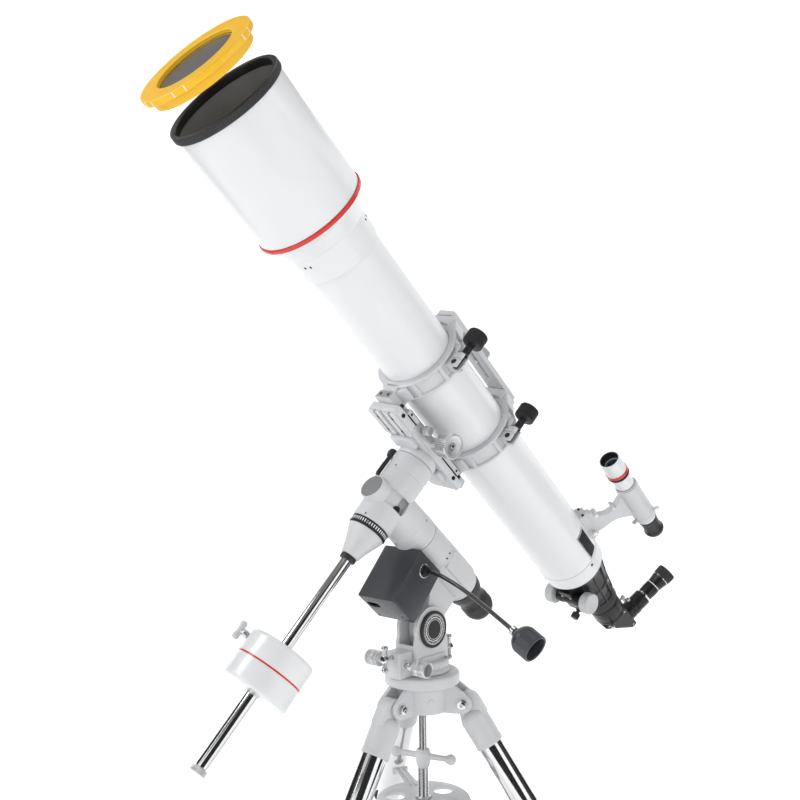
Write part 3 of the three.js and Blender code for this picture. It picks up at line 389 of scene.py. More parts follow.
def dome(radius, top, fall, steps):
    """Profile of a lens face, from its rim to the middle."""
    return [(radius * k / steps, top - fall * (k / steps) ** 2) for k in range(steps, -1, -1)]


def plate(name, outline, low, high, matrix, mat, body, stands_for=(), holes=(), bevel=0.8, corner=0.0):
    """An outline in local XY with holes, extruded along Z between two heights, with rounded edges."""
    curve = bpy.data.curves.new(name, "CURVE")
    curve.dimensions = "2D"
    curve.fill_mode = "BOTH"
    bevel = min(bevel, (high - low) * 0.45)
    curve.extrude = (high - low) / 2 - bevel
    curve.bevel_depth = bevel
    curve.bevel_resolution = 2
    curve.offset = -bevel
    loops = [rounded(outline, corner, 4, True) if corner else outline, *holes]
    for loop in loops:
        spline = curve.splines.new("POLY")
        spline.points.add(len(loop) - 1)
        for point, spot in zip(spline.points, loop):
            point.co = (spot[0], spot[1], 0, 1)
        spline.use_cyclic_u = True
    holder = put(name + "_outline", curve)
    mesh = evaluated(holder)
    bpy.data.objects.remove(holder)
    bpy.data.curves.remove(curve)
    mesh.name = name
    mesh.transform(matrix @ Matrix.Translation((0, 0, (low + high) / 2)))
    bm = bmesh.new()
    bm.from_mesh(mesh)
    bmesh.ops.remove_doubles(bm, verts=bm.verts, dist=1e-7)
    bmesh.ops.recalc_face_normals(bm, faces=bm.faces)
    bm.to_mesh(mesh)
    bm.free()
    return wrap(name, mesh, mat, body, stands_for)


def block(name, x, y, z, matrix, mat, body, stands_for=(), bevel=1.2, corner=1.5):
    """A box between two values each way, with rounded edges."""
    return plate(name, band(*x, *y), *z, matrix, mat, body, stands_for, bevel=bevel, corner=corner)


def standing(matrix):
    """Local frame whose XY lies in the outer frame's YZ, and whose Z is the outer X."""
    return matrix @ Matrix(((0, 0, 1, 0), (1, 0, 0, 0), (0, 1, 0, 0), (0, 0, 0, 1)))


def pointing(matrix, start, direction):
    """Local frame at a point, its Z along a direction of the outer frame."""
    turn = Vector(direction).normalized().to_track_quat("Z", "Y").to_matrix().to_4x4()
    return matrix @ Matrix.Translation(start) @ turn


def rod(name, start, end, radius, matrix, mat, body, stands_for=(), sides=48):
    """A round bar between two points."""
    along = Vector(end) - Vector(start)
    profile = [(0, 0), (radius, 0), (radius, along.length), (0, along.length)]
    return lathe(name, profile, pointing(matrix, start, along), mat, body, stands_for, sides, 0.6)


def screw(name, spot, direction, radius, matrix, body, mat=None, height=None):
    """A socket-head screw: a rounded head with a six-sided recess."""
    height = height or radius * 0.8
    sides = 36
    hexagon = radius * 0.5
    bm = bmesh.new()
    rings = []
    rows = [(radius, -0.5, 0), (radius, height * 0.8, 0), (radius * 0.9, height, 0), (hexagon, height, 1),
        (hexagon, height * 0.35, 1), (0, height * 0.3, 0)]
    for reach, level, six in rows:
        if reach == 0:
            rings.append([bm.verts.new((0, 0, level))])
            continue
        ring = []
        for k in range(sides):
            turn = 2 * math.pi * k / sides
            inset = 1.0
            if six:
                inset = math.cos(math.pi / 6) / math.cos(turn % (math.pi / 3) - math.pi / 6)
            ring.append(bm.verts.new(around(reach * inset, turn, level)))
        rings.append(ring)
    skin(bm, rings, sides)
    return add(name, bm, pointing(matrix, spot, direction), mat or STEEL, body)


def carve(obj, *cutters):
    """Cuts other pieces out of a piece, and removes them."""
    for cutter in cutters:
        change = obj.modifiers.new("cut", "BOOLEAN")
        change.operation = "DIFFERENCE"
        change.solver = "EXACT"
        change.object = cutter
    mesh = evaluated(obj)
    mat = obj.data.materials[0]
    obj.modifiers.clear()
    obj.data = mesh
    for cutter in cutters:
        bpy.data.objects.remove(cutter)
    shade(mesh, mat)


def ticks(name, radius, low, high, count, every, matrix, mat, body, start=0.0, end=360.0, width=0.5):
    """Printed marks round a drum: short ones, with a longer one at every so many."""
    bm = bmesh.new()
    for k in range(count):
        turn = math.radians(start + (end - start) * k / count)
        top = high if k % every == 0 else low + (high - low) * 0.55
        along = Vector((-math.sin(turn), math.cos(turn), 0)) * width / 2
        out = Vector((math.cos(turn), math.sin(turn), 0)) * (radius + PRINT_LIFT)
        corners = [out - along + Z * low, out + along + Z * low, out + along + Z * top,
            out - along + Z * top]
        bm.faces.new([bm.verts.new(c) for c in corners])
    return add(name, bm, matrix, mat, body)


# ------------------------------------------------------------------ tripod
def thread(radius, low, high, pitch, depth):
    """Profile of a threaded rod, as fine rings."""
    line, level = [(0, low), (radius - depth, low)], low
    while level < high - pitch:
        line += [(radius, level + pitch * 0.35), (radius, level + pitch * 0.5),
            (radius - depth, level + pitch)]
        level += pitch
    return line + [(radius - depth, high), (0, high)]


hoop("tripod_hub", [(8.4, -62), (16, -62), (16, -30), (43, -30), (43, -72), (52, -72), (56, -68), (56, -27),
    (63, -24), (71, -21), (72, -19), (72, -4), (70, -0.2), (0, 0), (0, -21), (8.4, -21)], TRIPOD, CAST,
    "tripod", "tripod_head", sides=128, corner=1.6)
rod("azimuth_peg", (0, -PEG_REACH, -3), (0, -PEG_REACH, 34), 5, TRIPOD, STEEL, "tripod")
EAR = ([(44, -17), (44, -72), (66, -72.5), (82, -72)] + circle(LEG_PIVOT_RADIUS, -LEG_PIVOT_DROP, 18, 14,
    -90, 62)[1:] + [(72, -24), (60, -17)])
for leg, turn in enumerate(LEG_TURNS):
    turned = spin(TRIPOD, turn)
    upright = spin(turned, 90, "X")
    for side in (-1, 1):
        low, high = span(side, 15.3, 24.3)
        plate(f"ear_{leg}_{side}", EAR, low, high, upright, CAST, "tripod", bevel=1.4, corner=2.5)
        plate(f"ear_boss_{leg}_{side}", circle(LEG_PIVOT_RADIUS, -LEG_PIVOT_DROP, 12.5, 40),
            *span(side, 23, 25.6), upright, CAST, "tripod")
    lathe(f"hub_plug_{leg}", [(0, 54), (7, 54), (7, 56.4), (6, 57.2), (0, 57.2)],
        pointing(spin(turned, 60), (0, 0, -48), (1, 0, 0)), CAST, "tripod", corner=0.6)

lathe("tension_rod_piece", thread(7.9, -300, -22, 2.6, 0.9), TRIPOD, CHROME, "tripod", "tension_rod",
    sides=32, corner=0.01)

OUTWARD = 1 if (HIPS[0].to_3x3() @ X).z > 0 else -1
LEG_LENGTH = (HEAD_TOP - LEG_PIVOT_DROP) / math.cos(LEG_SPREAD)
for leg, hip in enumerate(HIPS, 1):
    name = f"leg_{leg}"
    hoop(name + "_sleeve_piece", [(24.2, -92), (26.2, -92), (27, -90), (27, -84), (26.4, -82), (27, -60),
        (27, -33), (24, -26), (16, -19), (0, -18), (0, -33), (24.2, -34)], hip, CAST, name,
        name + "_sleeve", corner=1.6)
    lug = [(27, -40), (27, -6), (24, 6), (14, 15), (2, 17), (-11, 12), (-15, 2), (-17, -14), (-26.4, -40)]
    plate(name + "_lug", [(point[0] * OUTWARD, point[1]) for point in lug][::OUTWARD], -14.6, 14.6,
        flat(hip), CAST, name, bevel=2.2, corner=5)
    rod(name + "_hinge_bolt", (0, -32, 0), (0, 32, 0), 5, hip, STEEL, name)
    for side in (-1, 1):
        rim = pointing(hip, (0, side * 25.8, 0), (0, side, 0))
        hoop(f"{name}_washer_{side}", band(5, 10, 0, 1.5), rim, STEEL, name, corner=0.3, sides=40)
        hoop(f"{name}_nut_{side}", [(4, 1.5), (8.6, 1.5), (8.6, 7), (4, 8)], rim, CHROME, name, sides=6,
            corner=0.7)
        screw(f"{name}_bolt_end_{side}", (0, side * 31, 0), (0, side, 0), 5.2, hip, name, height=2.5)
    hoop(name + "_tube_piece", band(21.5, 24, -399, -36), hip, CHROME, name, name + "_tube", corner=0.5)
    hoop(name + "_collar", [(20.4, -412), (26, -412), (28, -410), (28, -402), (27, -400), (28, -398),
        (28, -382), (25.5, -378), (24.1, -378), (24.1, -398), (20.4, -400)], hip, CAST, name, corner=1.0)
    boss = pointing(hip, (20, 0, -396), (1, 0, 0))
    hoop(name + "_lock_boss", [(4.4, 5), (10, 5), (10, 15), (8, 17), (4.4, 17)], boss, CAST, name, sides=48)
    lathe(name + "_lock_grip", [(0, 0.4), (3.8, 0.4), (3.8, 18), (8, 19), (9, 21), (13, 22), (14, 25),
        (14, 32), (12, 34), (5, 34.6), (0, 34.6)], boss, PLASTIC, name + "_lock", name + "_lock_knob",
        ribs=(8, 2.2, 21.5, 34.2, 8.5))
    foot_body, sole = name + "_foot", -LEG_LENGTH
    lathe(name + "_extension_piece", [(0, sole + 28), (20, sole + 28), (20, -310), (18.5, -309),
        (18.5, -340), (0, -340)], hip, CHROME, foot_body, name + "_extension", corner=0.5)
    for k in range(1, 6):
        hoop(f"{name}_height_ring_{k}", band(19.6, 20.12, 0, 0.9), shift(hip, z=sole + 60 + 48 * k), MATT,
            foot_body, corner=0.05, sides=64)
    foot = lathe(name + "_rubber_foot", [(0, sole - 20), (22, sole - 20), (23, sole - 17), (23, sole + 12),
        (21.8, sole + 14), (23, sole + 16), (23, sole + 30), (22, sole + 40), (20, sole + 42),
        (0, sole + 42)], hip, RUBBER, foot_body)
    bm = bmesh.new()
    bm.from_mesh(foot.data)
    cut = bmesh.ops.bisect_plane(bm, geom=bm.verts[:] + bm.edges[:] + bm.faces[:], plane_co=(0, 0, 0),
        plane_no=(0, 0, 1), clear_inner=True)
    bmesh.ops.edgeloop_fill(bm, edges=[e for e in cut["geom_cut"] if isinstance(e, bmesh.types.BMEdge)])
    bm.to_mesh(foot.data)
    bm.free()

# Spreader tray, with eyepiece holes, and the bar nut that holds it
LEG_AT = LEG_PIVOT_RADIUS + (TRAY_DROP + 3.5 - LEG_PIVOT_DROP) * math.tan(LEG_SPREAD)
ARM_END = LEG_AT - 24 / math.cos(LEG_SPREAD) - 7
outline = []
for mid in LEG_TURNS:
    lean = math.degrees(math.asin(10 / 90))
    c, s = math.cos(math.radians(mid)), math.sin(math.radians(mid))
    outline += [(ARM_END * c + 10 * s, ARM_END * s - 10 * c), (ARM_END * c - 10 * s, ARM_END * s + 10 * c)]
    outline += circle(0, 0, 90, 22, mid + lean + 2, mid + 120 - lean - 2)
holes = [circle(0, 0, 8.6, 32)]
for mid in LEG_TURNS:
    away = math.radians(mid + 60)
    holes.append(circle(56 * math.cos(away), 56 * math.sin(away), 19, 48))
    near = math.radians(mid)
    holes.append(circle(66 * math.cos(near), 66 * math.sin(near), 8, 32))
plate("tray_plate", outline, -253, -246.2, TRIPOD, CAST, "tray", "spreader_tray", holes=holes, bevel=1.2,
    corner=5)
hoop("tray_hub_ring", band(15, 24, -247, -244.5), TRIPOD, CAST, "tray")
for leg, turn in enumerate(LEG_TURNS):
    turned = spin(TRIPOD, turn)
    block(f"tray_pad_{leg}", (ARM_END - 6, ARM_END - 0.2), (-16.5, 16.5), (-258.6, -244.4), turned, CAST,
        "tray", bevel=1.4, corner=2)
    block(f"tray_rib_{leg}", (64, ARM_END - 6), (-2, 2), (-246.4, -242.6), turned, CAST, "tray", bevel=1)
bar_nut = spin(TRIPOD, 18)
hoop("bar_nut_body", [(8.4, -186), (10.4, -186), (13.6, -178), (14, -174), (14, -156), (12, -151),
    (8.4, -150)], bar_nut, CAST, "handle_nut", "t_handle_nut", corner=1.4)
hoop("bar_nut_flange", [(8.4, -245.6), (14, -245.6), (14, -241.4), (12.4, -240), (8.4, -240)], bar_nut,
    SATIN, "handle_nut")
hoop("bar_nut_column", [(8.3, -241), *[(10.4 - 0.8 * (k % 2), -240 + k * 1.35) for k in range(41)],
    (8.3, -185)], bar_nut, CHROME, "handle_nut", corner=0.05)
for side in (-1, 1):
    arm = pointing(bar_nut, (side * 12, 0, -164), (side, 0, 0))
    lathe(f"bar_nut_arm_{side}", [(0, -4), (7, -4), (7, 1), (5.6, 3), (5.2, 34), (6.6, 35.5), (6.6, 38),
        (8.4, 40), (10, 45), (10, 47.6), (8, 53), (3.4, 55.6), (0, 55.8)], arm, CAST, "handle_nut",
        corner=2.0, sides=64)

# ------------------------------------------------------------------ mount base
lathe("azimuth_disc", [(0, 0.3), (50, 0.3), (52, 2), (52, 6), (51, 7), (52, 8), (52, 20), (49, 24),
    (0, 24)], TRIPOD, CAST, "mount_base", "azimuth_base", sides=128, corner=1.2)
ticks("azimuth_scale", 52, 9, 16, 72, 6, TRIPOD, MATT, "mount_base", -150, 90)
side_on = standing(TRIPOD)
CHEEK = ([(-47, 19), (47, 19), (45, 60)] + circle(0, 83, 43, 26, -14, 194) + [(-45, 60)])
for side in (-1, 1):
    low, high = span(side, 18.1, 27)
    plate(f"cheek_{side}", CHEEK, low, high, side_on, CAST, "mount_base", holes=[circle(0, 83, 10.4, 40)],
        bevel=2.2, corner=3)
    skirt = [(-43, 20), (43, 20), (36, 34), (-36, 34)]
    plate(f"cheek_skirt_{side}", skirt, *span(side, 24, 31), side_on, CAST, "mount_base", bevel=2.5,
        corner=5)
block("fork_web_front", (-19, 19), (-46, -37.5), (22, 56), TRIPOD, CAST, "mount_base", bevel=1.5)
block("fork_web_rear", (-19, 19), (37.5, 46), (22, 46), TRIPOD, CAST, "mount_base", bevel=1.5)
nose_block = plate("azimuth_block", band(-19, 19, -82, -40), 0.3, 49, TRIPOD, CAST, "mount_base", bevel=2.2,
    corner=4)
slot_hole = block("slot_cut", (-15, 15), (-74, -58), (-5, 38), TRIPOD, CAST, "mount_base", bevel=0.2)
screw_hole = rod("screw_cut", (-40, -PEG_REACH, 26), (40, -PEG_REACH, 26), 4.4, TRIPOD, CAST, "mount_base")
bolt_hole = rod("bolt_cut", (0, -95, 40), (0, -20, 40), 4.6, TRIPOD, CAST, "mount_base")
carve(nose_block, slot_hole, screw_hole, bolt_hole)
for side, name in ((1, "right"), (-1, "left")):
    out = pointing(TRIPOD, (0, -PEG_REACH, 26), (side, 0, 0))
    body = f"azimuth_knob_{name}"
    lathe(body + "_piece", [(0, 5.3), (4, 5.3), (4, 31), (8.6, 31), (8.6, 35), (5.5, 37.5), (5.5, 44),
        (13, 46), (15, 48), (15, 56), (13.6, 57.5), (13.6, 60), (15, 61.5), (15, 75), (13.8, 76.8),
        (11.6, 76.8), (10.8, 75.4), (10.4, 64), (0, 64)], out, SATIN, body, body,
        ribs=(30, 1.1, 47, 75, 14.2), corner=0.7)
    lathe(body + "_bore", band(0, 10.2, 62, 64.4), out, LINING, body, corner=0.2)
    hoop(f"azimuth_boss_{name}", [(4.3, 18.5), (9.5, 18.5), (9.5, 20.3), (8.5, 21.3), (4.3, 21.3)], out,
        CAST, "mount_base", corner=0.7)


def latitude_bolt(body, matrix, height, tip, bar, half):
    base = shift(matrix, z=height)
    lathe(body + "_piece", [(0, tip), (3, tip), (4, tip + 1.5), (4, bar - 4), (7.6, bar - 3), (8, bar),
        (8, bar + 4), (6.5, bar + 6), (0, bar + 6)], pointing(base, (0, 0, 0), (0, -1, 0)), CHROME, body,
        body, corner=0.7, sides=64)
    for way in (-1, 1):
        lathe(f"{body}_bar_{way}", [(0, -2), (4.6, -2), (4.4, half - 9), (6.2, half - 7), (6.6, half - 3.5),
            (5.2, half - 0.6), (3, half), (0, half)], pointing(base, (0, -bar, 0), (0, 0, way)), STEEL,
            body, corner=1.4, sides=48)


latitude_bolt("latitude_bolt_front", TRIPOD, 40, 13.5, 101, 25)
latitude_bolt("latitude_bolt_rear", spin(TRIPOD, 180), 31, 11, 78, 25)
for spot in ((-36, -30), (36, -30), (-36, 30), (36, 30)):
    screw(f"base_screw_{spot[0]}_{spot[1]}", (*spot, 23.8), (0, 0, 1), 4, TRIPOD, "mount_base")

# ------------------------------------------------------------------ polar axis
hoop("polar_housing_piece", [(15.4, -44), (36, -44), (38, -42), (38, -33), (40, -30), (42, -26), (42, 60),
    (41.2, 61), (41.2, 63), (42, 64), (42, 117), (41.4, 118), (41.4, 119), (42, 120), (42, 122.4),
    (41, 123), (15.4, 123)], POLAR, CAST, "polar_axis", "polar_housing", sides=128, corner=1.2)
for side in (-1, 1):
    block(f"housing_flat_{side}", span(side, 20, 42.4), (-19, 19), (-28, 56), POLAR, CAST, "polar_axis",
        bevel=1.6, corner=2)
for x, z in ((15, 66), (-15, 66)):
    screw(f"housing_seam_screw_{x}", (41.6, x * 0.4, z), (1, 0, 0), 2, POLAR, "polar_axis", BLACK, 0.6)
TAIL_Y = -RA_OFFSET - TAIL_LENGTH * math.sin(TILT)
TAIL_Z = -TAIL_LENGTH * math.cos(TILT)
arm_outline = [(-30, -32), (-30, 62), (-104, 20), (-126, 21), (-144, 8), (TAIL_Y - 4, TAIL_Z + 4.5),
    (TAIL_Y + 4, TAIL_Z - 4.5), (-126, -22), (-102, -22)]
arm = plate("polar_arm", arm_outline, -17.3, 17.3, standing(POLAR), CAST, "polar_axis", bevel=2, corner=7)
carve(arm, rod("arm_cut", (0, 0, -120), (0, 0, 160), 30, POLAR, CAST, "polar_axis"),
    rod("axle_cut", (-40, -RA_OFFSET, 0), (40, -RA_OFFSET, 0), 10.4, POLAR, CAST, "polar_axis"))
rod("latitude_axle", (-29, -RA_OFFSET, 0), (29, -RA_OFFSET, 0), 10, POLAR, STEEL, "polar_axis",
    "latitude_disc")
disc_at = pointing(POLAR, (27.3, -RA_OFFSET, 0), (1, 0, 0))
lathe("latitude_disc_rim", [(0, 0), (34, 0), (35, 1), (35, 5), (34, 5.8), (31.4, 5.8), (30.8, 5), (0, 5)],
    disc_at, PLASTIC, "polar_axis", corner=0.5, sides=128)
lathe("latitude_disc_face", [(0, 4.9), (30.2, 4.9), (30.2, 5.25), (29.6, 5.5), (0, 5.5)], disc_at, PLASTIC,
    "polar_axis", corner=0.2, sides=128)
for radius, width in ((21.4, 1.5), (18.0, 0.7)):
    hoop(f"latitude_disc_ring_{radius}", [(radius, 5.3), (radius + width, 5.3), (radius + width, 5.9),
        (radius, 5.9)], disc_at, MARKS, "polar_axis", corner=0.05)
for k in range(60):
    mark = spin(disc_at, 6 * k)
    block(f"latitude_mark_{k}", (25.4 if k % 5 else 24, 29.2), (-0.5, 0.5), (5.3, 5.9), mark, MARKS,
        "polar_axis", bevel=0.05, corner=0.05)
far_nut = pointing(POLAR, (-27.3, -RA_OFFSET, 0), (-1, 0, 0))
lathe("latitude_washer", band(0, 17, 0, 2), far_nut, STEEL, "polar_axis", corner=0.4)
lathe("latitude_nut", [(0, 2), (13.6, 2), (13.6, 7.6), (10, 9), (0, 9)], far_nut, STEEL, "polar_axis",
    sides=6)
lathe("polar_cap_piece", [(0, -137), (15, -137), (18, -135), (27, -130), (31, -119), (31, -97), (28, -89),
    (28, -80), (35, -62), (37.6, -47), (37.6, -44.3), (14.5, -44.3), (14.5, -36), (0, -36)], POLAR, PLASTIC,
    "polar_cap", "polar_scope_cap", ribs=(40, 0.9, -119, -97, 30.2), corner=1.2, sides=128)

# Gear cover: a rounded box that clasps the polar housing
BOX_X, BOX_Y, BOX_Z = (-50, 45), (-150, -36), (66, 140)
cover = block("gear_cover", BOX_X, BOX_Y, BOX_Z, POLAR, CHARCOAL, "polar_axis", "gearbox_cover", bevel=2.4,
    corner=4)
carve(cover, rod("cover_cut", (0, 0, 40), (0, 0, 170), 42.3, POLAR, CHARCOAL, "polar_axis", sides=96),
    block("cover_hollow", (-46.5, 41.5), (-146.5, -62), (50, 136.5), POLAR, CHARCOAL, "polar_axis"),
    plate("cover_slot", rounded(band(-15, 15, -8, 8), 7.9, 6, True), -4, 8,
    shift(spin(POLAR, 90, "X"), -27, 112, 147), CHARCOAL, "polar_axis", bevel=0.1),
    rod("cover_pin", (26, -160, 82), (26, -143, 82), 3, POLAR, CHARCOAL, "polar_axis"))
block("cover_lining", (-42, 38), (-144, -70), (70, 134), POLAR, MATT, "polar_axis")
for x, z in ((-43, 73), (38, 73), (-43, 133), (38, 133)):
    screw(f"cover_screw_{x}_{z}", (x, -149.8, z), (0, -1, 0), 2.6, POLAR, "polar_axis", BLACK, 0.5)
hub_at = pointing(POLAR, (45, -62.5, 108), (1, 0, 0))
lathe("cable_hub", [(0, -2), (11, -2), (11, 1.6), (9, 2.6), (9, 9), (7, 10.8), (0, 10.8)], hub_at, BLACK,
    "polar_axis", ribs=(20, 0.7, 2.5, 9.2, 8.4), corner=0.7)
hoop("cable_hub_collar", [(11, -1), (13.6, -1), (13.6, 1.4), (12.6, 2.2), (11, 2.2)], hub_at, CHROME,
    "polar_axis", corner=0.4)

# Slow-motion cable and its cup knob
ROUTE = [(56.5, -40.2, 200.6), (66, -40.2, 200.1), (76, -40.2, 198.9), (88, -40.2, 196.2),
    (104, -40.2, 191.4), (122, -40.2, 185), (140, -40.2, 177.8), (158, -40.2, 169.9), (176, -40.2, 161.2),
    (194, -40.2, 152), (212, -40.2, 142.6), (230, -40.2, 133.1), (248, -40.2, 123.6)]


def smooth_route(points, per_span):
    """Catmull-Rom points through a route."""
    ends = [2 * Vector(points[0]) - Vector(points[1]), *map(Vector, points),
        2 * Vector(points[-1]) - Vector(points[-2])]
    out = []
    for a, b, c, d in zip(ends, ends[1:], ends[2:], ends[3:]):
        for step in range(per_span):
            t = step / per_span
            out.append(0.5 * (2 * b + (c - a) * t + (2 * a - 5 * b + 4 * c - d) * t * t
                              + (3 * b - a - 3 * c + d) * t ** 3))
    return out + [Vector(points[-1])]


cable_points = [TRIPOD @ point for point in smooth_route(ROUTE, 2)]
cable_curve = bpy.data.curves.new("slow_motion_shaft", "CURVE")
cable_curve.dimensions = "3D"
cable_curve.bevel_depth = 4.1 * MM
cable_curve.bevel_resolution = 8
cable_curve.use_fill_caps = True
cable_line = cable_curve.splines.new("POLY")
cable_line.points.add(len(cable_points) - 1)
for spot, point in zip(cable_line.points, cable_points):
    spot.co = (*point, 1)
cable_curve.materials.append(SHEATH)
cable = put("slow_motion_shaft", cable_curve)
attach(cable, "polar_axis")
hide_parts("slow_motion_cable")
cup = lathe("cup_knob", [(0, 0.3), (6, 0.3), (7, 2), (7.4, 8), (9, 12), (19, 18.5), (23.6, 24.5),
    (25.4, 30), (25.5, 57), (24.6, 59), (22, 59), (21.2, 57), (20.8, 34), (17, 27), (0, 25)], CUP, CHARCOAL,
    "slow_motion_knob", "slow_motion_knob", ribs=(48, 0.45, 31, 56, 25.2), corner=1.0, sides=144)
hoop("cup_ferrule", [(7.1, 1), (8.6, 1.6), (8.6, 8.6), (7.6, 9.4), (7.3, 9.4)], CUP, CHROME,
    "slow_motion_knob", corner=0.3)


# ------------------------------------------------------------------ declination axis
dec_body = "declination_housing"
drum = lathe("dec_drum", [(0, -54), (38, -54), (40, -51), (40, 57), (39.3, 57.8), (39.3, 59), (40, 59.8),
    (40, 91), (38, 94), (0, 94)], DEC, CAST, dec_body, "dec_housing", sides=144, corner=1.4)


def pocket_cut():
    return plate("pocket_cut", [(20, -40), (60, -40), (60, 14), (33, 14)], -13, 17, DEC, CAST, dec_body,
        bevel=1.2, corner=2)


carve(drum, pocket_cut())
lathe("pocket_screw", [(0, 24), (6.2, 24), (6.2, 34.5), (5.2, 35.5), (3, 34.4), (0, 34.2)],
    pointing(DEC, (0, 2, -7), (1, 0, 0)), MATT, dec_body, corner=0.4)
toward_mount = pointing(DEC, (0, 0, 0), (0, 1, 0))
collar = lathe("ra_collar", [(0, 0), (42, 0), (42, 62), (41.3, 62.8), (41.3, 64), (42, 64.8), (42, 84),
    (42.6, 86), (42.6, 105), (41, 107.6), (0, 107.6)], toward_mount, CAST, dec_body, sides=144, corner=1.4)
carve(collar, pocket_cut())
for degrees in (28, 148, 268):
    spot = spin(toward_mount, degrees)
    screw(f"collar_set_screw_{degrees}", (41.5, 0, 74), (1, 0, 0), 2.4, spot, dec_body, BLACK, 0.6)
toward_pole = pointing(DEC, (0, 0, 0), (0, -1, 0))
lathe("front_boss", [(0, 30), (30, 30), (27, 38), (25, 46), (25, 50.8), (24.2, 51.9), (23, 51.9),
    (22.7, 50.2), (0, 50.2)], toward_pole, CAST, dec_body, corner=0.9, sides=128)
lathe("front_boss_disc", [(0, 50), (22.2, 50), (22.2, 51.2), (21.4, 51.7), (0, 51.7)], toward_pole, GREY,
    dec_body, corner=0.5, sides=128)
block("worm_case", (-52, -30), (-22, 34), (4, 44), DEC, CAST, dec_body, bevel=3, corner=4)
lathe("worm_end", [(0, 0), (8, 0), (8, 2.4), (6, 3.4), (0, 3.4)],
    pointing(DEC, (-42, -21.8, 24), (0, -1, 0)), PLASTIC, dec_body, corner=0.5)
screw("worm_screw_low", (-51.8, -10, 10), (-1, 0, 0), 3, DEC, dec_body, BLACK, 1)
screw("worm_screw_high", (-51.8, 24, 38), (-1, 0, 0), 3, DEC, dec_body, BLACK, 1)
for degrees, height in ((38, 70), (52, 61), (160, 61), (280, 61)):
    spot = spin(DEC, degrees)
    screw(f"drum_set_screw_{degrees}", (39.7, 0, height), (1, 0, 0), 1.9, spot, dec_body, BLACK, 0.5)
hoop("circle_spigot", band(11.2, 19.4, -68.2, -53), DEC, STEEL, dec_body, corner=0.4)
hoop("dec_circle", [(20, -67.9), (36.8, -67.9), (38.4, -66.6), (38.4, -64.6), (37.7, -64.2), (37.7, -56.2),
    (38.4, -55.8), (38.4, -54.4), (20, -54.4)], DEC, BLACK, "setting_circle", "dec_setting_circle",
    corner=0.4, sides=144)
ticks("dec_circle_marks", 37.7, -63.6, -57.4, 48, 1, DEC, MARKS, "setting_circle", width=1.9)
for degrees in (70, 190, 310):
    screw(f"circle_screw_{degrees}", (38, 0, -60.2), (1, 0, 0), 2.2, spin(DEC, degrees), "setting_circle",
        STEEL, 1.4)
plate("circle_index", [(-2.2, 0), (2.2, 0), (0, -4.4)], -0.2, 0.25,
    standing(shift(spin(DEC, -70), x=40, z=-47.5)), MATT, dec_body, bevel=0.1)
hoop("nosepiece", [(11.4, -68.6), (36, -68.6), (36.4, -70.5), (34, -77), (30, -86), (23, -104),
    (18.4, -119.5), (17, -123), (11.4, -123)], DEC, CAST, dec_body, "dec_nosepiece", sides=128, corner=1.8)
hoop("shaft_bushing", [(11.2, -132), (14.6, -132), (15.5, -131), (15.5, -124), (11.2, -122)], DEC, PLASTIC,
    dec_body, corner=0.6)
lathe("counter_shaft", [(0, -555), (10, -555), (11, -553.5), (11, -120), (0, -120)], DEC, CHROME, dec_body,
    "counterweight_shaft", corner=0.5)
lathe("shaft_end", [(0, -566), (13.4, -566), (15, -564.4), (15, -557), (13.6, -555.3), (0, -555.3)], DEC,
    SATIN, "shaft_end_cap", "shaft_end_cap", ribs=(36, 0.7, -564.6, -556.8, 14.6))
lever_at = spin(DEC, -128)
lever_axle = pointing(lever_at, (0, 0, 84), (1, 0, 0))
lathe("lever_hub", [(0, 40.8), (10.6, 40.8), (10.6, 47), (9, 50.4), (7.6, 52.6), (0, 52.6)], lever_axle,
    PLASTIC, "clutch_lever", "dec_clutch_lever", corner=1.2)
grip = [(-8.4, 84), (-9.2, 74), (-8.6, 46), (-7.2, 33.5), (7.2, 33.5), (8.6, 46), (9.2, 74), (8.4, 84)]
plate("lever_blade", grip, 41.2, 49.4, standing(lever_at), PLASTIC, "clutch_lever", bevel=2.2, corner=4)
for k in range(7):
    block(f"lever_rib_{k}", (48.6, 50.2), (-6.2, 6.2), (37 + k * 3.6, 38.7 + k * 3.6), lever_at, PLASTIC,
        "clutch_lever", bevel=0.6, corner=0.6)
screw("lever_screw", (52.3, 0, 84), (1, 0, 0), 5, lever_at, "clutch_lever", STEEL, 2)
lathe("lever_seat", [(0, 32), (15, 32), (13, 38), (11, 40.6), (0, 40.6)], lever_axle, CAST, dec_body,
    corner=0.6)

# ------------------------------------------------------------------ counterweight
hoop("weight", [(11.5, -412), (58, -412), (62.4, -410), (64, -406), (64, -368.6), (63.5, -368.2),
    (63.5, -365.4), (64, -365), (64, -328), (62.4, -324), (58, -322), (11.5, -322)], WEIGHT, WHITE,
    "counterweight", "counterweight", sides=160, corner=1.4)
hoop("weight_band", band(63.2, 63.95, -368.3, -365.3), WEIGHT, RED, "counterweight", sides=160, corner=0.2)
hoop("weight_bore_ring", band(11.6, 15, -412.2, -411.4), WEIGHT, SATIN, "counterweight", corner=0.2)
weight_side = pointing(WEIGHT, (0, 0, -340), (0, -1, 0))
lathe("weight_screw", [(0, 12), (4, 12), (4, 64), (6.6, 65), (7, 67), (7, 74), (5.6, 76), (4.6, 80),
    (0, 82)], weight_side, SATIN, "counterweight_screw", "counterweight_screw", corner=0.7, sides=64)
lathe("weight_screw_bar", [(0, -17.5), (4.6, -17), (6.4, -13.5), (6.2, -9), (4.8, -4), (4.8, 4), (6.2, 9),
    (6.4, 13.5), (4.6, 17), (0, 17.5)], pointing(weight_side, (0, 0, 82), (0, 1, 0)), CAST,
    "counterweight_screw", corner=2.5, sides=64)

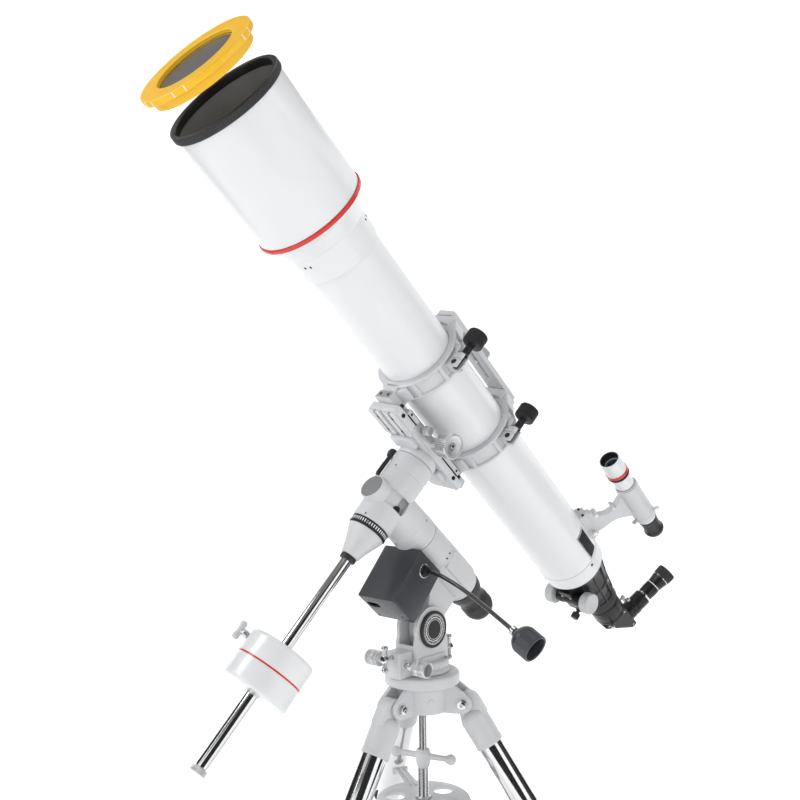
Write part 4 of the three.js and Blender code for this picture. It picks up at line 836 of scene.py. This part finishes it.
# ------------------------------------------------------------------ saddle
lathe("saddle_collar", [(0, 94.3), (38.6, 94.3), (40, 96), (40, 105), (38, 112.5), (0, 113)], HEAD, CAST,
    "saddle", "saddle", sides=128, corner=1.2)
plate("saddle_plate", band(-40, 40, -138, 98), 112, 128, HEAD, CAST, "saddle", bevel=2.2, corner=9)
for way in (-1, 1):
    block(f"saddle_flank_{way}", (-30, 30), span(way, 36, 66), (102, 113.5), HEAD, CAST, "saddle", bevel=3,
        corner=8)
across = flat(HEAD)
for side in (-1, 1):
    rail = [(side * 40, 126.5), (side * 40, 140), (side * 19.4, 140), (side * 22.8, 127)]
    if side > 0:
        rail.reverse()
    plate(f"saddle_rail_{side}", rail, -72, 112, across, CAST, "saddle", bevel=0.9, corner=1.0)
    block(f"saddle_jaw_{side}", span(side, 38.5, 41.4), (-81, -2), (118, 139), HEAD, SATIN, "saddle",
        bevel=0.6, corner=1)
    face_x = span(side, 39.2, 40.6)
    for label, low, high in (("low", 126.4, 129.2), ("high", 138.9, 139.9)):
        block(f"saddle_line_{label}_{side}", span(side, 39, 40.4), (-111, 71), (low, high), HEAD, MATT,
            "saddle", bevel=0.1, corner=0.3)
    for inner, outer in ((6, 17), (23, 37)):
        block(f"saddle_under_bar_{side}_{inner}", sorted((side * inner, side * outer)), (-135, -70),
            (107, 113), HEAD, CAST, "saddle", bevel=1.0, corner=1.2)
    block(f"saddle_under_groove_{side}", span(side, 17.5, 22.5), (-132, -70), (111.2, 112.4), HEAD, MATT,
        "saddle", bevel=0.1, corner=0.4)
    for spot in (-118, -82):
        screw(f"saddle_under_bolt_{side}_{spot}", (side * 20, spot, 111.4), (0, 0, -1), 3.6, HEAD, "saddle",
            BLACK, 4)
    block(f"saddle_face_{side}", face_x, (-110, 70), (129.5, 138.6), HEAD, PALE, "saddle", bevel=0.4,
        corner=0.8)
    for spot in (-118, 66):
        screw(f"saddle_rail_screw_{side}_{spot}", (side * 39.9, spot, 119.5), (side, 0, 0), 4.2, HEAD,
            "saddle", BLACK, 1.6)
    for spot in (-104, 62):
        screw(f"saddle_face_screw_{side}_{spot}", (side * 40.4, spot, 134), (side, 0, 0), 2.6, HEAD,
            "saddle", BLACK, 0.9)
    for spot in (-125, 85):
        lathe(f"saddle_stop_{side}_{spot}", [(0, 127), (5.6, 127), (5.6, 131), (4, 132), (4, 137), (3, 138),
            (0, 138)], shift(HEAD, side * 29, spot), BLACK, "saddle", corner=0.5, sides=48)
        lathe(f"saddle_stop_nut_{side}_{spot}", band(0, 4.4, 127, 131), shift(HEAD, side * 29, spot + 8),
            STEEL, "saddle", corner=0.5, sides=6)
bar = [(-22, 128.3), (22, 128.3), (18.8, 146), (-18.8, 146)]
plate("dovetail", bar, -116, 152, across, PALE, "saddle", "dovetail_plate", corner=0.8)
for way, end in ((-1, -152), (1, 116)):
    block(f"dovetail_end_{way}", (-19, 19), sorted((end, end - way * 1.2)), (129.4, 144.8), HEAD, SATIN,
        "saddle", bevel=0.4, corner=0.6)
    for spot in (-10, 10):
        screw(f"dovetail_end_screw_{way}_{spot}", (spot, end - way * 0.3, 137), (0, way, 0), 3, HEAD,
            "saddle", BLACK, 0.9)
clamp = pointing(HEAD, (0, -25, CLAMP_HEIGHT), (1, 0, 0))
lathe("clamp_knob", [(0, 24), (3, 24), (3, 40.4), (8, 40.4), (9, 44), (12, 58), (17, 67), (23, 68),
    (24, 69.4), (24, 94), (22.6, 96), (20, 96), (17.6, 93.8), (4, 91.4), (0, 91.4)], clamp, SATIN,
    "saddle_knob_large", "saddle_knob_large", ribs=(40, 1.9, 67.8, 95, 21.8), corner=0.7)
lathe("clamp_knob_face", [(0, 86), (19.4, 92), (19.6, 94.6), (18, 94.2), (4.4, 89.6), (0, 89.4)], clamp,
    SATIN, "saddle_knob_large", corner=0.2, sides=128)
# Thin raised radial streaks of darker steel on the knob's face: fine ribs, coloured darker as the dark
# sectors of the face's sheen, a painted reflection.
for k in range(30):
    block(f"clamp_knob_streak_{k}", (5, 17.6), (-0.35, 0.35), (89.9, 92.2), spin(clamp, 12 * k), STEEL,
        "saddle_knob_large", bevel=0.1, corner=0.1)
lathe("clamp_knob_hub", [(0, 88), (4, 88), (4, 92.4), (3, 93.2), (0, 93.2)], clamp, STEEL,
    "saddle_knob_large", corner=0.4)
lathe("safety_knob", [(0, 24), (2.6, 24), (2.6, 41), (3.6, 41), (3.6, 46), (8.4, 46), (9, 47), (9, 58.6),
    (7.6, 60), (0, 60)], pointing(HEAD, (0, -62, CLAMP_HEIGHT), (1, 0, 0)), SATIN, "saddle_knob_small",
    "saddle_knob_small", ribs=(30, 0.6, 46.4, 59, 8.6), corner=0.6)

# ------------------------------------------------------------------ tube rings
RING = [(70.5, -20), (82.6, -20), (84, -18.6), (84, -15), (79, -13.6), (79, 13.6), (84, 15), (84, 18.6),
    (82.6, 20), (70.5, 20)]
for label, height in RING_HEIGHTS.items():
    at = shift(TUBE, z=height)
    lower, upper = f"ring_{label}_lower", f"ring_{label}_upper"
    arc_sweep(lower + "_band", RING, 174, 366, at, CAST, "saddle", lower, sides=110)
    arc_sweep(upper + "_band", RING, 6, 174, at, CAST, "ring_tops", upper, sides=100)
    felt = band(70.05, 70.9, -17, 17)
    arc_sweep(lower + "_felt", felt, 175, 365, at, MATT, "saddle", corner=0.2)
    arc_sweep(upper + "_felt", felt, 7, 173, at, MATT, "ring_tops", corner=0.2)
    for part, turns, body in ((lower, (196, 238, 302, 344), "saddle"),
            (upper, (24, 60, 120, 156), "ring_tops")):
        for turn in turns:
            block(f"{part}_web_{turn}", (77, 83.8), (-4.4, 4.4), (-17, 17), spin(at, turn), CAST, body,
                bevel=1.6, corner=2)
    block(lower + "_foot", (-17, 17), (-93.6, -76), (-20, 20), at, CAST, "saddle", bevel=1.6, corner=2.5)
    for side in (-1, 1):
        plate(f"{lower}_gusset_{side}", [(side * 15, -93), (side * 17, -93), (side * 34, -79),
            (side * 30, -72), (side * 12, -76)][::side], -15, 15, at, CAST, "saddle", bevel=1.8, corner=3)
    block(upper + "_boss", (-30, 30), (72, 99.6), (-20, 20), at, CAST, "ring_tops", bevel=2, corner=3)
    for side in (-1, 1):
        plate(f"{upper}_gusset_{side}", [(side * 28, 99), (side * 50, 70), (side * 40, 64),
            (side * 24, 76)][::-side], -15, 15, at, CAST, "ring_tops", bevel=1.8, corner=3)
    ear = [(75, -11), (102, -11), (106, -8), (106, -4.8), (92, -4.8), (92, 4.8), (106, 4.8), (106, 8),
        (102, 11), (75, 11)]
    face = flat(at)
    plate(lower + "_ear", ear, -7.7, 10, face, CAST, "saddle", bevel=1.4)
    plate(upper + "_ear", ear, -22, -8.3, face, CAST, "ring_tops", bevel=1.4)
    for way in (-1, 1):
        block(f"{upper}_ear_web_{way}", (72, 88), (12, 40), span(way, 7, 11), at, CAST, "ring_tops",
            bevel=1.4, corner=5)
    for way in (-1, 1):
        pivot = pointing(at, (97, -1.5, way * 10.9), (0, 0, way))
        lathe(f"{lower}_pivot_{way}", [(0, 0), (5.4, 0), (5.4, 1.4), (4.4, 2.2), (2.2, 2.2), (1.8, 1.2),
            (0, 1.2)], pivot, BLACK, "saddle", corner=0.4)
    for low, high, body in ((7, 18, "saddle"), (-18, -7, "saddle"), (-6.6, 6.6, "ring_tops")):
        lathe(f"ring_{label}_knuckle_{low}", [(0, low), (6.4, low), (7, low + 0.8), (7, high - 0.8),
            (6.4, high), (0, high)], shift(at, x=-93, y=8), CAST, body, corner=0.5)
        block(f"ring_{label}_knuckle_arm_{low}", (-92, -76),
            (1.5, 7.5) if body == "saddle" else (8.5, 14.5), (low, high), at, CAST, body, corner=1.2)
    for way in (-1, 1):
        screw(f"ring_{label}_hinge_pin_{way}", (-93, 8, way * 17.9), (0, 0, way), 3.2, at, "saddle", BLACK,
            0.8)
    side_of = pointing(at, (97, 0, 0), (0, 1, 0))
    knob = f"ring_knob_{label}"
    lathe(knob + "_piece", [(0, -8), (3.6, -8), (4, -7.4), (4, 22.3), (8, 22.3), (8, 26), (6.8, 27.4),
        (6.4, 28), (6.4, 48), (12, 49.4), (19, 50), (20, 51.4), (20, 74), (18.4, 76), (14, 76),
        (12.8, 74.8), (0, 74.8)], side_of, PLASTIC, knob, knob, ribs=(60, 0.9, 50.6, 75, 18.8))
    hoop(knob + "_spacer", [(6.3, 29), (7.3, 29.4), (7.3, 47.6), (6.3, 48)], side_of, BLACK, knob,
        corner=0.2)

block_holes = [rounded(band(-3.6, 3.6, -30, 70), 3.5, 6, True), circle(0, -80, 3.4, 24),
    circle(0, 130, 3.4, 24), circle(0, 96, 3.4, 24)]
plate("piggyback_plate", band(-23, 23, -101, 152), -111, -100, flat(TUBE), CAST, "ring_tops",
    "accessory_plate", holes=block_holes, bevel=1.6, corner=8)
for spot in sorted(RING_HEIGHTS.values()):
    for side in (-1, 1):
        screw(f"plate_screw_{spot}_{side}", (side * 14, 110.9, spot + 6), (0, 1, 0), 4, TUBE, "ring_tops",
            BLACK, 2)
camera_at = pointing(TUBE, (0, 0, 20), (0, 1, 0))
lathe("camera_screw", [(0, 98), (2.9, 98), (3, 111.3), (9, 111.3), (9, 116), (8, 117.3), (13.6, 117.6),
    (15, 119), (15, 127), (13.8, 128.3), (0, 128.3)], camera_at, SATIN, "camera_knob", "camera_knob",
    ribs=(44, 0.9, 117.5, 128, 13.4), corner=0.6)

# ------------------------------------------------------------------ optical tube
scope = "optical_tube"
hoop("tube_skin", band(67.6, 70, -505, 425), TUBE, WHITE, scope, "main_tube", sides=192, corner=0.6)
hoop("tube_lining", band(67.3, 67.6, -503, 424), TUBE, MATT, scope, corner=0.1)
hoop("cell_body", [(70.1, 404), (74.2, 404), (75, 405), (75, 424), (75.5, 452), (76.2, 456), (79, 459),
    (88, 486), (93, 492), (97.6, 495.8), (97.6, 497), (92, 520), (66, 520), (66, 478), (63.8, 476),
    (63.8, 426), (70.1, 426)], TUBE, WHITE, scope, "lens_cell", sides=192, corner=1.0)
hoop("cell_ring", [(90, 496), (101.6, 496), (102.4, 496.8), (102.4, 502.4), (101.6, 503.2), (90, 503.2)],
    TUBE, RED, scope, sides=192, corner=0.5)
hoop("cell_retainer", [(58, 479), (65.8, 479), (65.8, 486), (60, 486), (58, 484)], TUBE, MATT, scope,
    sides=144, corner=0.5)
for degrees in (40, 160, 280):
    for near in (-5, 5):
        screw(f"cell_screw_{degrees}_{near}", (75.2, 0, 440), (1, 0, 0), 2.2, spin(TUBE, degrees + near),
            scope, BLACK, 0.7)
lathe("front_element", dome(63.5, 462, 4, 8)[::-1] + dome(63.5, 480, 6, 8), TUBE, COATED, scope,
    "objective_lens", sides=128, corner=0.01)
hoop("shield_skin", [(97.6, 503.6), (99.4, 503.6), (100, 504.4), (100, 720.8), (97.6, 720.8)], TUBE, WHITE,
    scope, "dew_shield", sides=192, corner=0.6)
hoop("shield_lining", band(97.2, 97.6, 505, 722), TUBE, LINING, scope, sides=128, corner=0.1)
hoop("shield_collar", [(94, 719.5), (99.6, 719.5), (101.8, 720.4), (103, 722), (103, 732), (101.6, 734),
    (95.4, 734), (93.2, 731), (93.2, 722)], TUBE, PLASTIC, scope, ribs=(150, 0.8, 721, 732.6, 101.9))
for degrees in range(0, 360, 120):
    hoop(f"baffle_{degrees}", [(91.4, 0), (97.2, 0), (97.2, 1.0), (91.4, 0.6)],
        shift(TUBE, z=560 + degrees / 2.4), LINING, scope, sides=128, corner=0.1)

# Solar filter
hoop("filter_ring", [(67.6, 796.4), (69.6, 793.6), (84, 779.6), (84.6, 778), (91.2, 778), (92, 779),
    (92, 792.4), (101.8, 792.8), (103, 794), (103, 802.6), (101.6, 804), (71.6, 804), (70, 803.2),
    (70, 797)], TUBE, YELLOW, "solar_filter", "solar_filter_ring", sides=192)
hoop("filter_gasket", band(68.6, 70.1, 795.6, 797.4), TUBE, MATT, "solar_filter", sides=144, corner=0.2)
film_profile = [(0, 794.5), (80, 794.5), (80, 795.5), (69, 795.6), (60, 796), (0, 796.2)]
lathe("filter_film", film_profile, TUBE, FOIL, "solar_filter", "solar_film", sides=144, corner=0.05)
for turn in (-62, -50, 18, 30, 98, 110, 178, 190, 258, 270):
    block(f"filter_slit_{turn}", (101, 103.15), (-0.8, 0.8), (794.6, 803.4), spin(TUBE, turn), MARKS,
        "solar_filter", bevel=0.1, corner=0.1)

# ------------------------------------------------------------------ focuser
hoop("tail_ring", [(60, -541), (69.6, -541), (71, -539), (71, -507), (70.2, -505.4), (60, -505.4)], TUBE,
    WHITE, scope, "focuser_body", sides=160, corner=0.9)
hoop("tail_step", [(58, -546), (66.6, -546), (67.4, -544.6), (67.4, -540), (58, -540)], TUBE, PALE, scope,
    sides=144, corner=0.5)
hoop("focus_cone", [(32, -690), (39, -690), (41, -688), (41, -664), (39.4, -663), (39.4, -659), (41, -658),
    (41, -644), (42.4, -640), (47, -619), (49.2, -618), (49.8, -612), (48.6, -610), (58, -564), (62, -552),
    (65, -549), (65, -546), (54, -546), (32, -640)], TUBE, BLACK, scope, sides=144, corner=0.9)
FIN = [(40, -664), (43.4, -664), (50.8, -612), (62, -560), (55, -556)]
for turn in range(15, 360, 30):
    plate(f"focus_fin_{turn}", FIN, -1.3, 1.3, flat(spin(TUBE, turn)), BLACK, scope, corner=2)
pinion = shift(TUBE, y=-58, z=-596)
lathe("pinion_case", [(0, -34), (13.4, -34), (15, -32), (15, -18), (13.8, -17), (13.8, 17), (15, 18),
    (15, 32), (13.4, 34), (0, 34)], pointing(pinion, (0, 0, 0), (1, 0, 0)), BLACK, scope, corner=0.9)
block("pinion_block", (-17, 17), (-66, -34), (-630, -566), TUBE, BLACK, scope, bevel=2, corner=3)
for z in (-616, -582):
    for x in (-11, 11):
        screw(f"pinion_screw_{x}_{z}", (x, -66, z), (0, -1, 0), 3, TUBE, scope, STEEL, 1.6)
lock_at = pointing(TUBE, (0, 0, -642), (0, -1, 0))
lathe("focus_lock", [(0, 64), (4, 64), (4, 70), (8.6, 71), (9, 72.4), (9, 83), (8, 84.4), (0, 84.4)],
    lock_at, PLASTIC, scope, ribs=(20, 0.8, 71, 84, 8.2), corner=0.6)
lathe("focus_lock_seat", [(0, 36), (8, 36), (8, 62), (5, 64.4), (0, 64.4)], lock_at, BLACK, scope)
for side in (-1, 1):
    out = pointing(pinion, (0, 0, 0), (side, 0, 0))
    lathe(f"focus_knob_{side}", [(0, 34.4), (9, 34.4), (9, 38), (20, 38.4), (22.6, 39.4), (23.5, 41),
        (23.5, 57.6), (22, 59.6), (18.6, 60), (17.8, 59), (6, 58.4), (0, 58.4)], out, PALE, "focus_knobs",
        ("focus_knobs",) if side < 0 else (), ribs=(54, 0.8, 40, 58.6, 22.5), corner=0.7)
    hoop(f"focus_knob_neck_{side}", band(9.05, 11.6, 34.2, 38.2), out, CHROME, "focus_knobs", corner=0.3)
hoop("draw_tube", [(26, -697), (29, -697), (29, -572), (28, -570), (26, -570)], TUBE, CHROME, "drawtube",
    "drawtube", corner=0.5, sides=128)
hoop("draw_tube_flange", [(16.4, -748), (34, -748), (36, -746), (36, -738), (34.8, -737), (34.8, -734),
    (37, -733), (37, -702), (36, -700), (36, -697.6), (34, -696), (26, -696), (26, -730), (16.4, -736)],
    TUBE, BLACK, "drawtube", sides=128, ribs=(72, 0.7, -732, -703, 36.7))


def thumb_screw(name, matrix, start, direction, reach, body, head=5.2):
    lathe(name, [(0, 0), (2.2, 0), (2.2, reach), (head * 0.55, reach), (head * 0.6, reach + 1.4),
        (head * 0.95, reach + 2), (head, reach + 3), (head, reach + 9), (head * 0.85, reach + 10.2),
        (0, reach + 10.2)], pointing(matrix, start, direction), CHROME, body, corner=0.5,
        ribs=(20, 0.5, reach + 2, reach + 10, 4.4), sides=64)


for k, turn in enumerate((72, 192, 312)):
    thumb_screw(f"draw_screw_{k}", spin(TUBE, turn), (35, 0, -742), (1, 0, 0), 5, "drawtube")

# Star diagonal and eyepiece
prism = [(-35, -748.4), (-35, -758.4), (20, -820.2), (33, -820.2), (33, -748.4)]
plate("diagonal_body", prism, -18.4, 18.4, standing(STAR), BLACK, "diagonal", "diagonal", bevel=1.5,
    corner=2.5)
for side in (-1, 1):
    low, high = span(side, 18.2, 21)
    plate(f"diagonal_side_{side}", [(-32, -751), (-32, -757.4), (18, -817.4), (30.4, -817.4), (30.4, -751)],
        low, high, standing(STAR), PLASTIC, "diagonal", corner=3)
    for y, z in ((-26, -755), (24, -811), (24, -757)):
        screw(f"diagonal_screw_{side}_{y}", (side * 20.9, y, z), (side, 0, 0), 2.2, STAR, "diagonal", STEEL,
            0.6)
hoop("diagonal_nose", [(13.6, -749), (15.8, -749), (15.8, -716), (14.9, -715), (13.6, -715)], STAR, CHROME,
    "diagonal", corner=0.4)
out = pointing(STAR, (0, 0, -790), (0, 1, 0))
hoop("diagonal_socket", [(15.9, 30), (21, 30), (21, 46), (20.2, 47), (20.2, 49), (21, 50), (21, 58.6),
    (20, 60), (15.9, 60)], out, BLACK, "diagonal", corner=0.7)
thumb_screw("diagonal_thumb_screw", out, (0, 19.6, 53), (0, 1, 0), 3, "diagonal", 4.8)
thumb_screw("diagonal_thumb_screw_side", out, (19.6, 0, 53), (1, 0, 0), 3, "diagonal", 4.8)
hoop("eyepiece_barrel", [(13.8, 12), (15.2, 12), (15.6, 12.8), (15.6, 26), (15.0, 27), (15.0, 32),
    (15.6, 33), (15.6, 60.3), (13.8, 60.3)], out, CHROME, "eyepiece", "eyepiece", corner=0.4)
hoop("eyepiece_skirt", [(15, 60.3), (19.4, 60.3), (20, 61), (20, 87), (19, 88), (15, 88)], out, BLACK,
    "eyepiece", corner=0.5, ribs=(40, 0.9, 64, 84, 19.6))
hoop("eyepiece_band", band(14, 17.9, 87.6, 92.6), out, CHROME, "eyepiece", corner=0.3)
hoop("eyepiece_upper", [(12, 92.4), (17.4, 92.4), (17.4, 104), (17.9, 105), (17.9, 119), (17.5, 120),
    (17.5, 128), (19.0, 138), (20.4, 146), (20.4, 149), (12, 149)], out, BLACK, "eyepiece", corner=0.7)
hoop("eyepiece_ring", band(17.4, 18.15, 122, 124), out, MARKS, "eyepiece", corner=0.2)
hoop("eyecup", [(13, 148), (21.2, 148), (21.8, 158), (22.2, 165.6), (21.6, 171.4), (20.6, 172), (19.6, 166),
    (18.6, 155), (13, 153)], out, RUBBER, "eyepiece", corner=0.9, ribs=(44, 0.5, 149, 168, 21.1))
hoop("eyecup_seam", band(20, 21.5, 146.6, 148.4), out, CHROME, "eyepiece", corner=0.2)
lathe("eye_lens", [(0, 146), (13, 146), *dome(13, 153.6, 2.2, 6)], out, COATED, "eyepiece", corner=0.01)

# ------------------------------------------------------------------ finder
block("finder_shoe", (-17, 17), (66, 76), (-500, -424), FINDER, CAST, scope, "finder_bracket", bevel=1.6,
    corner=4)
for side in (-1, 1):
    rail = span(side, 9, 17)
    block(f"finder_shoe_rail_{side}", rail, (74, 82.6), (-498, -426), FINDER, CAST, scope)
    screw(f"finder_shoe_bolt_{side}", (side * 11, 79, -425.8), (0, 0, 1), 3, FINDER, scope, BLACK, 1)
block("finder_dovetail", (-12.6, 12.6), (74.6, 88), (-498, -426), FINDER, CAST, scope, corner=2)
stem = [(84, -497), (84, -432), (96, -436), (104, -456), (124, -468), (144, -466), (160, -456), (174, -448),
    (174, -520), (158, -510), (140, -498), (118, -496), (104, -498)]
plate("finder_stem", stem, -9, 9, standing(FINDER), CAST, scope, bevel=2.4, corner=8)
for label, y, z, size in (("low", 103, -451, 5.4), ("high", 143, -463, 4.6)):
    lathe(f"finder_stem_nut_{label}", [(0, -11), (size, -11), (size, 11), (size - 1, 12), (2, 12), (0, 11)],
        pointing(FINDER, (0, y, z), (1, 0, 0)), SATIN, scope, corner=0.5)
thumb_screw("finder_shoe_screw", FINDER, (14, 79, -476), (1, 0, 0), 6, scope, 6)
spot = shift(FINDER, y=193)
hoop("finder_sleeve", [(21.3, -546), (23.4, -546), (25, -544), (25, -532), (24.2, -531), (24.2, -448),
    (25, -447), (25, -436), (23.4, -434), (21.3, -434)], spot, CAST, scope, corner=0.9)
for k, turn in enumerate((58, 178, 298)):
    thumb_screw(f"finder_aim_screw_{k}", spin(spot, turn), (23.6, 0, -528), (1, 0, 0), 5, scope, 4.6)
hoop("finder_barrel", [(18, -560), (21, -560), (21, -397), (22, -396), (24.5, -394.6), (24.5, -383.4),
    (23.4, -382), (23, -380), (23, -348), (22, -345.2), (20.6, -345.2), (20.4, -360), (18, -364)], spot,
    WHITE, "finder", "finder_tube", sides=128)
hoop("finder_red_band", band(23, 24.75, -388.6, -382), spot, RED, "finder", corner=0.3, sides=128)
hoop("finder_black_band", [(20.8, -398), (23.6, -397), (24.8, -395), (24.8, -388.9), (22, -388.9)], spot,
    MATT, "finder", corner=0.3, sides=128)
hoop("finder_seat_ring", band(20.8, 21.15, -431, -429), spot, MATT, "finder", corner=0.2)
hoop("finder_lining", [(17.6, -363), (20.5, -361), (20.5, -346), (20, -345.8), (20, -360), (17.6, -362)],
    spot, MATT, "finder", corner=0.1)
lathe("finder_lens", [(0, -372), (18.4, -372), *dome(18.4, -364, 3, 6)], spot, COATED, "finder",
    corner=0.01)
hoop("finder_eyepiece", [(12, -603), (18.6, -604), (20, -602), (22.4, -597), (22.5, -593), (20.4, -590),
    (19.5, -583), (19.5, -562), (21.2, -560), (21.2, -552), (12, -552)], spot, PLASTIC, "finder",
    ribs=(36, 0.7, -582, -563, 19.3))
lathe("finder_eye_lens", band(0, 12.1, -600, -594), spot, COATED, "finder", corner=0.1)

# Blank label plate and screw on the tube
arc_sweep("tube_label", band(69.9, 70.35, -502, -428), 2, 31, TUBE, SATIN, scope, corner=0.1, sides=24)
arc_sweep("tube_label_panel", band(70.3, 70.42, -499, -434), 4.5, 28.5, TUBE, MATT, scope, corner=0.02,
    sides=24)
screw("tail_screw_side", (70.8, 0, -513), (1, 0, 0), 3.2, spin(TUBE, -4), scope, BLACK, 0.8)
screw("tail_screw_far", (70.9, 0, -520), (1, 0, 0), 2.6, spin(TUBE, 128), scope, BLACK, 0.8)
screw("tail_screw_under", (70.9, 0, -520), (1, 0, 0), 2.6, spin(TUBE, 248), scope, BLACK, 0.8)

# ------------------------------------------------------------------ studio
def staged(name, bm, mat):
    """Makes a piece of the studio, which isn't part of the telescope."""
    mesh = bpy.data.meshes.new(name)
    bm.to_mesh(mesh)
    bm.free()
    mesh.materials.append(mat)
    obj = put(name, mesh)
    return obj


FLOOR_RADIUS, WALL_RADIUS, WALL_TOP = 6.0, 9.0, 7.0
BEND_RADIUS = WALL_RADIUS - FLOOR_RADIUS
BEND_STEPS, FLOOR_SIDES = 24, 96
bm = bmesh.new()
bend = [(0.0, 0.0), (2.0, 0.0), (4.0, 0.0), (FLOOR_RADIUS, 0.0)]
for step in range(1, BEND_STEPS + 1):
    turn = math.pi / 2 * step / BEND_STEPS
    bend.append((FLOOR_RADIUS + BEND_RADIUS * math.sin(turn), BEND_RADIUS - BEND_RADIUS * math.cos(turn)))
bend.append((WALL_RADIUS, WALL_TOP))
rows = []
for reach, height in bend:
    if reach == 0:
        rows.append([bm.verts.new((0, 0, 0))])
        continue
    rows.append([bm.verts.new(around(reach, 2 * math.pi * k / FLOOR_SIDES, height))
        for k in range(FLOOR_SIDES)])
for low, high in zip(rows, rows[1:]):
    for k in range(FLOOR_SIDES):
        n = (k + 1) % FLOOR_SIDES
        if len(low) == 1:
            bm.faces.new((low[0], high[k], high[n]))
        else:
            bm.faces.new((low[k], high[k], high[n], low[n]))
floor = staged("studio_floor", bm, FLOOR)
floor.data.polygons.foreach_set("use_smooth", [True] * len(floor.data.polygons))
floor.location.z = CAD_BOX[0][2]


def area_light(name, where, toward, size, power):
    """A rectangular lamp at one point, turned to another."""
    data = bpy.data.lights.new(name, "AREA")
    data.shape = "RECTANGLE"
    data.size, data.size_y = size
    data.energy = power
    light = put(name, data)
    light.location = where
    light.rotation_euler = (Vector(toward) - Vector(where)).to_track_quat("-Z", "Y").to_euler()


area_light("key", (-1.6, -2.4, 3.2), (0, 0, 1.0), (1.4, 1.4), 40)
area_light("side", (3.0, 1.4, 2.2), (0, 0, 1.1), (0.8, 2.4), 10)
area_light("top", (0, 0, 4.4), (0, 0, 1.0), (2.4, 2.4), 26)
world = bpy.data.worlds.new("studio")
bpy.context.scene.world = world
world.use_nodes = True
preset(world.node_tree.nodes["Background"], Color=(1, 1, 1, 1), Strength=0.22)
bpy.context.scene.view_settings.view_transform = "Standard"
bpy.context.scene.view_settings.look = "None"

# Dark cards round the set, which only the polished parts reflect
CAMERA_TURN = math.degrees(math.atan2(-CAMERA_HEADING.y, -CAMERA_HEADING.x))
CARD_DISTANCE, CARD_STEPS = 2.5, 12
for name, start, end, low, high in (("middle", -24, 30, -0.2, 3.0), ("left", -128, -66, -0.2, 2.6),
        ("right", 58, 112, -0.2, 2.6)):
    bm = bmesh.new()
    turns = [math.radians(CAMERA_TURN + start + (end - start) * k / CARD_STEPS)
        for k in range(CARD_STEPS + 1)]
    below, above = [[bm.verts.new(around(CARD_DISTANCE, turn, height)) for turn in turns]
        for height in (low, high)]
    for k in range(CARD_STEPS):
        bm.faces.new((below[k], below[k + 1], above[k + 1], above[k]))
    flag = staged(f"flag_{name}", bm, FLAG)
    flag.visible_camera = False
    flag.visible_shadow = False
    flag.visible_diffuse = False
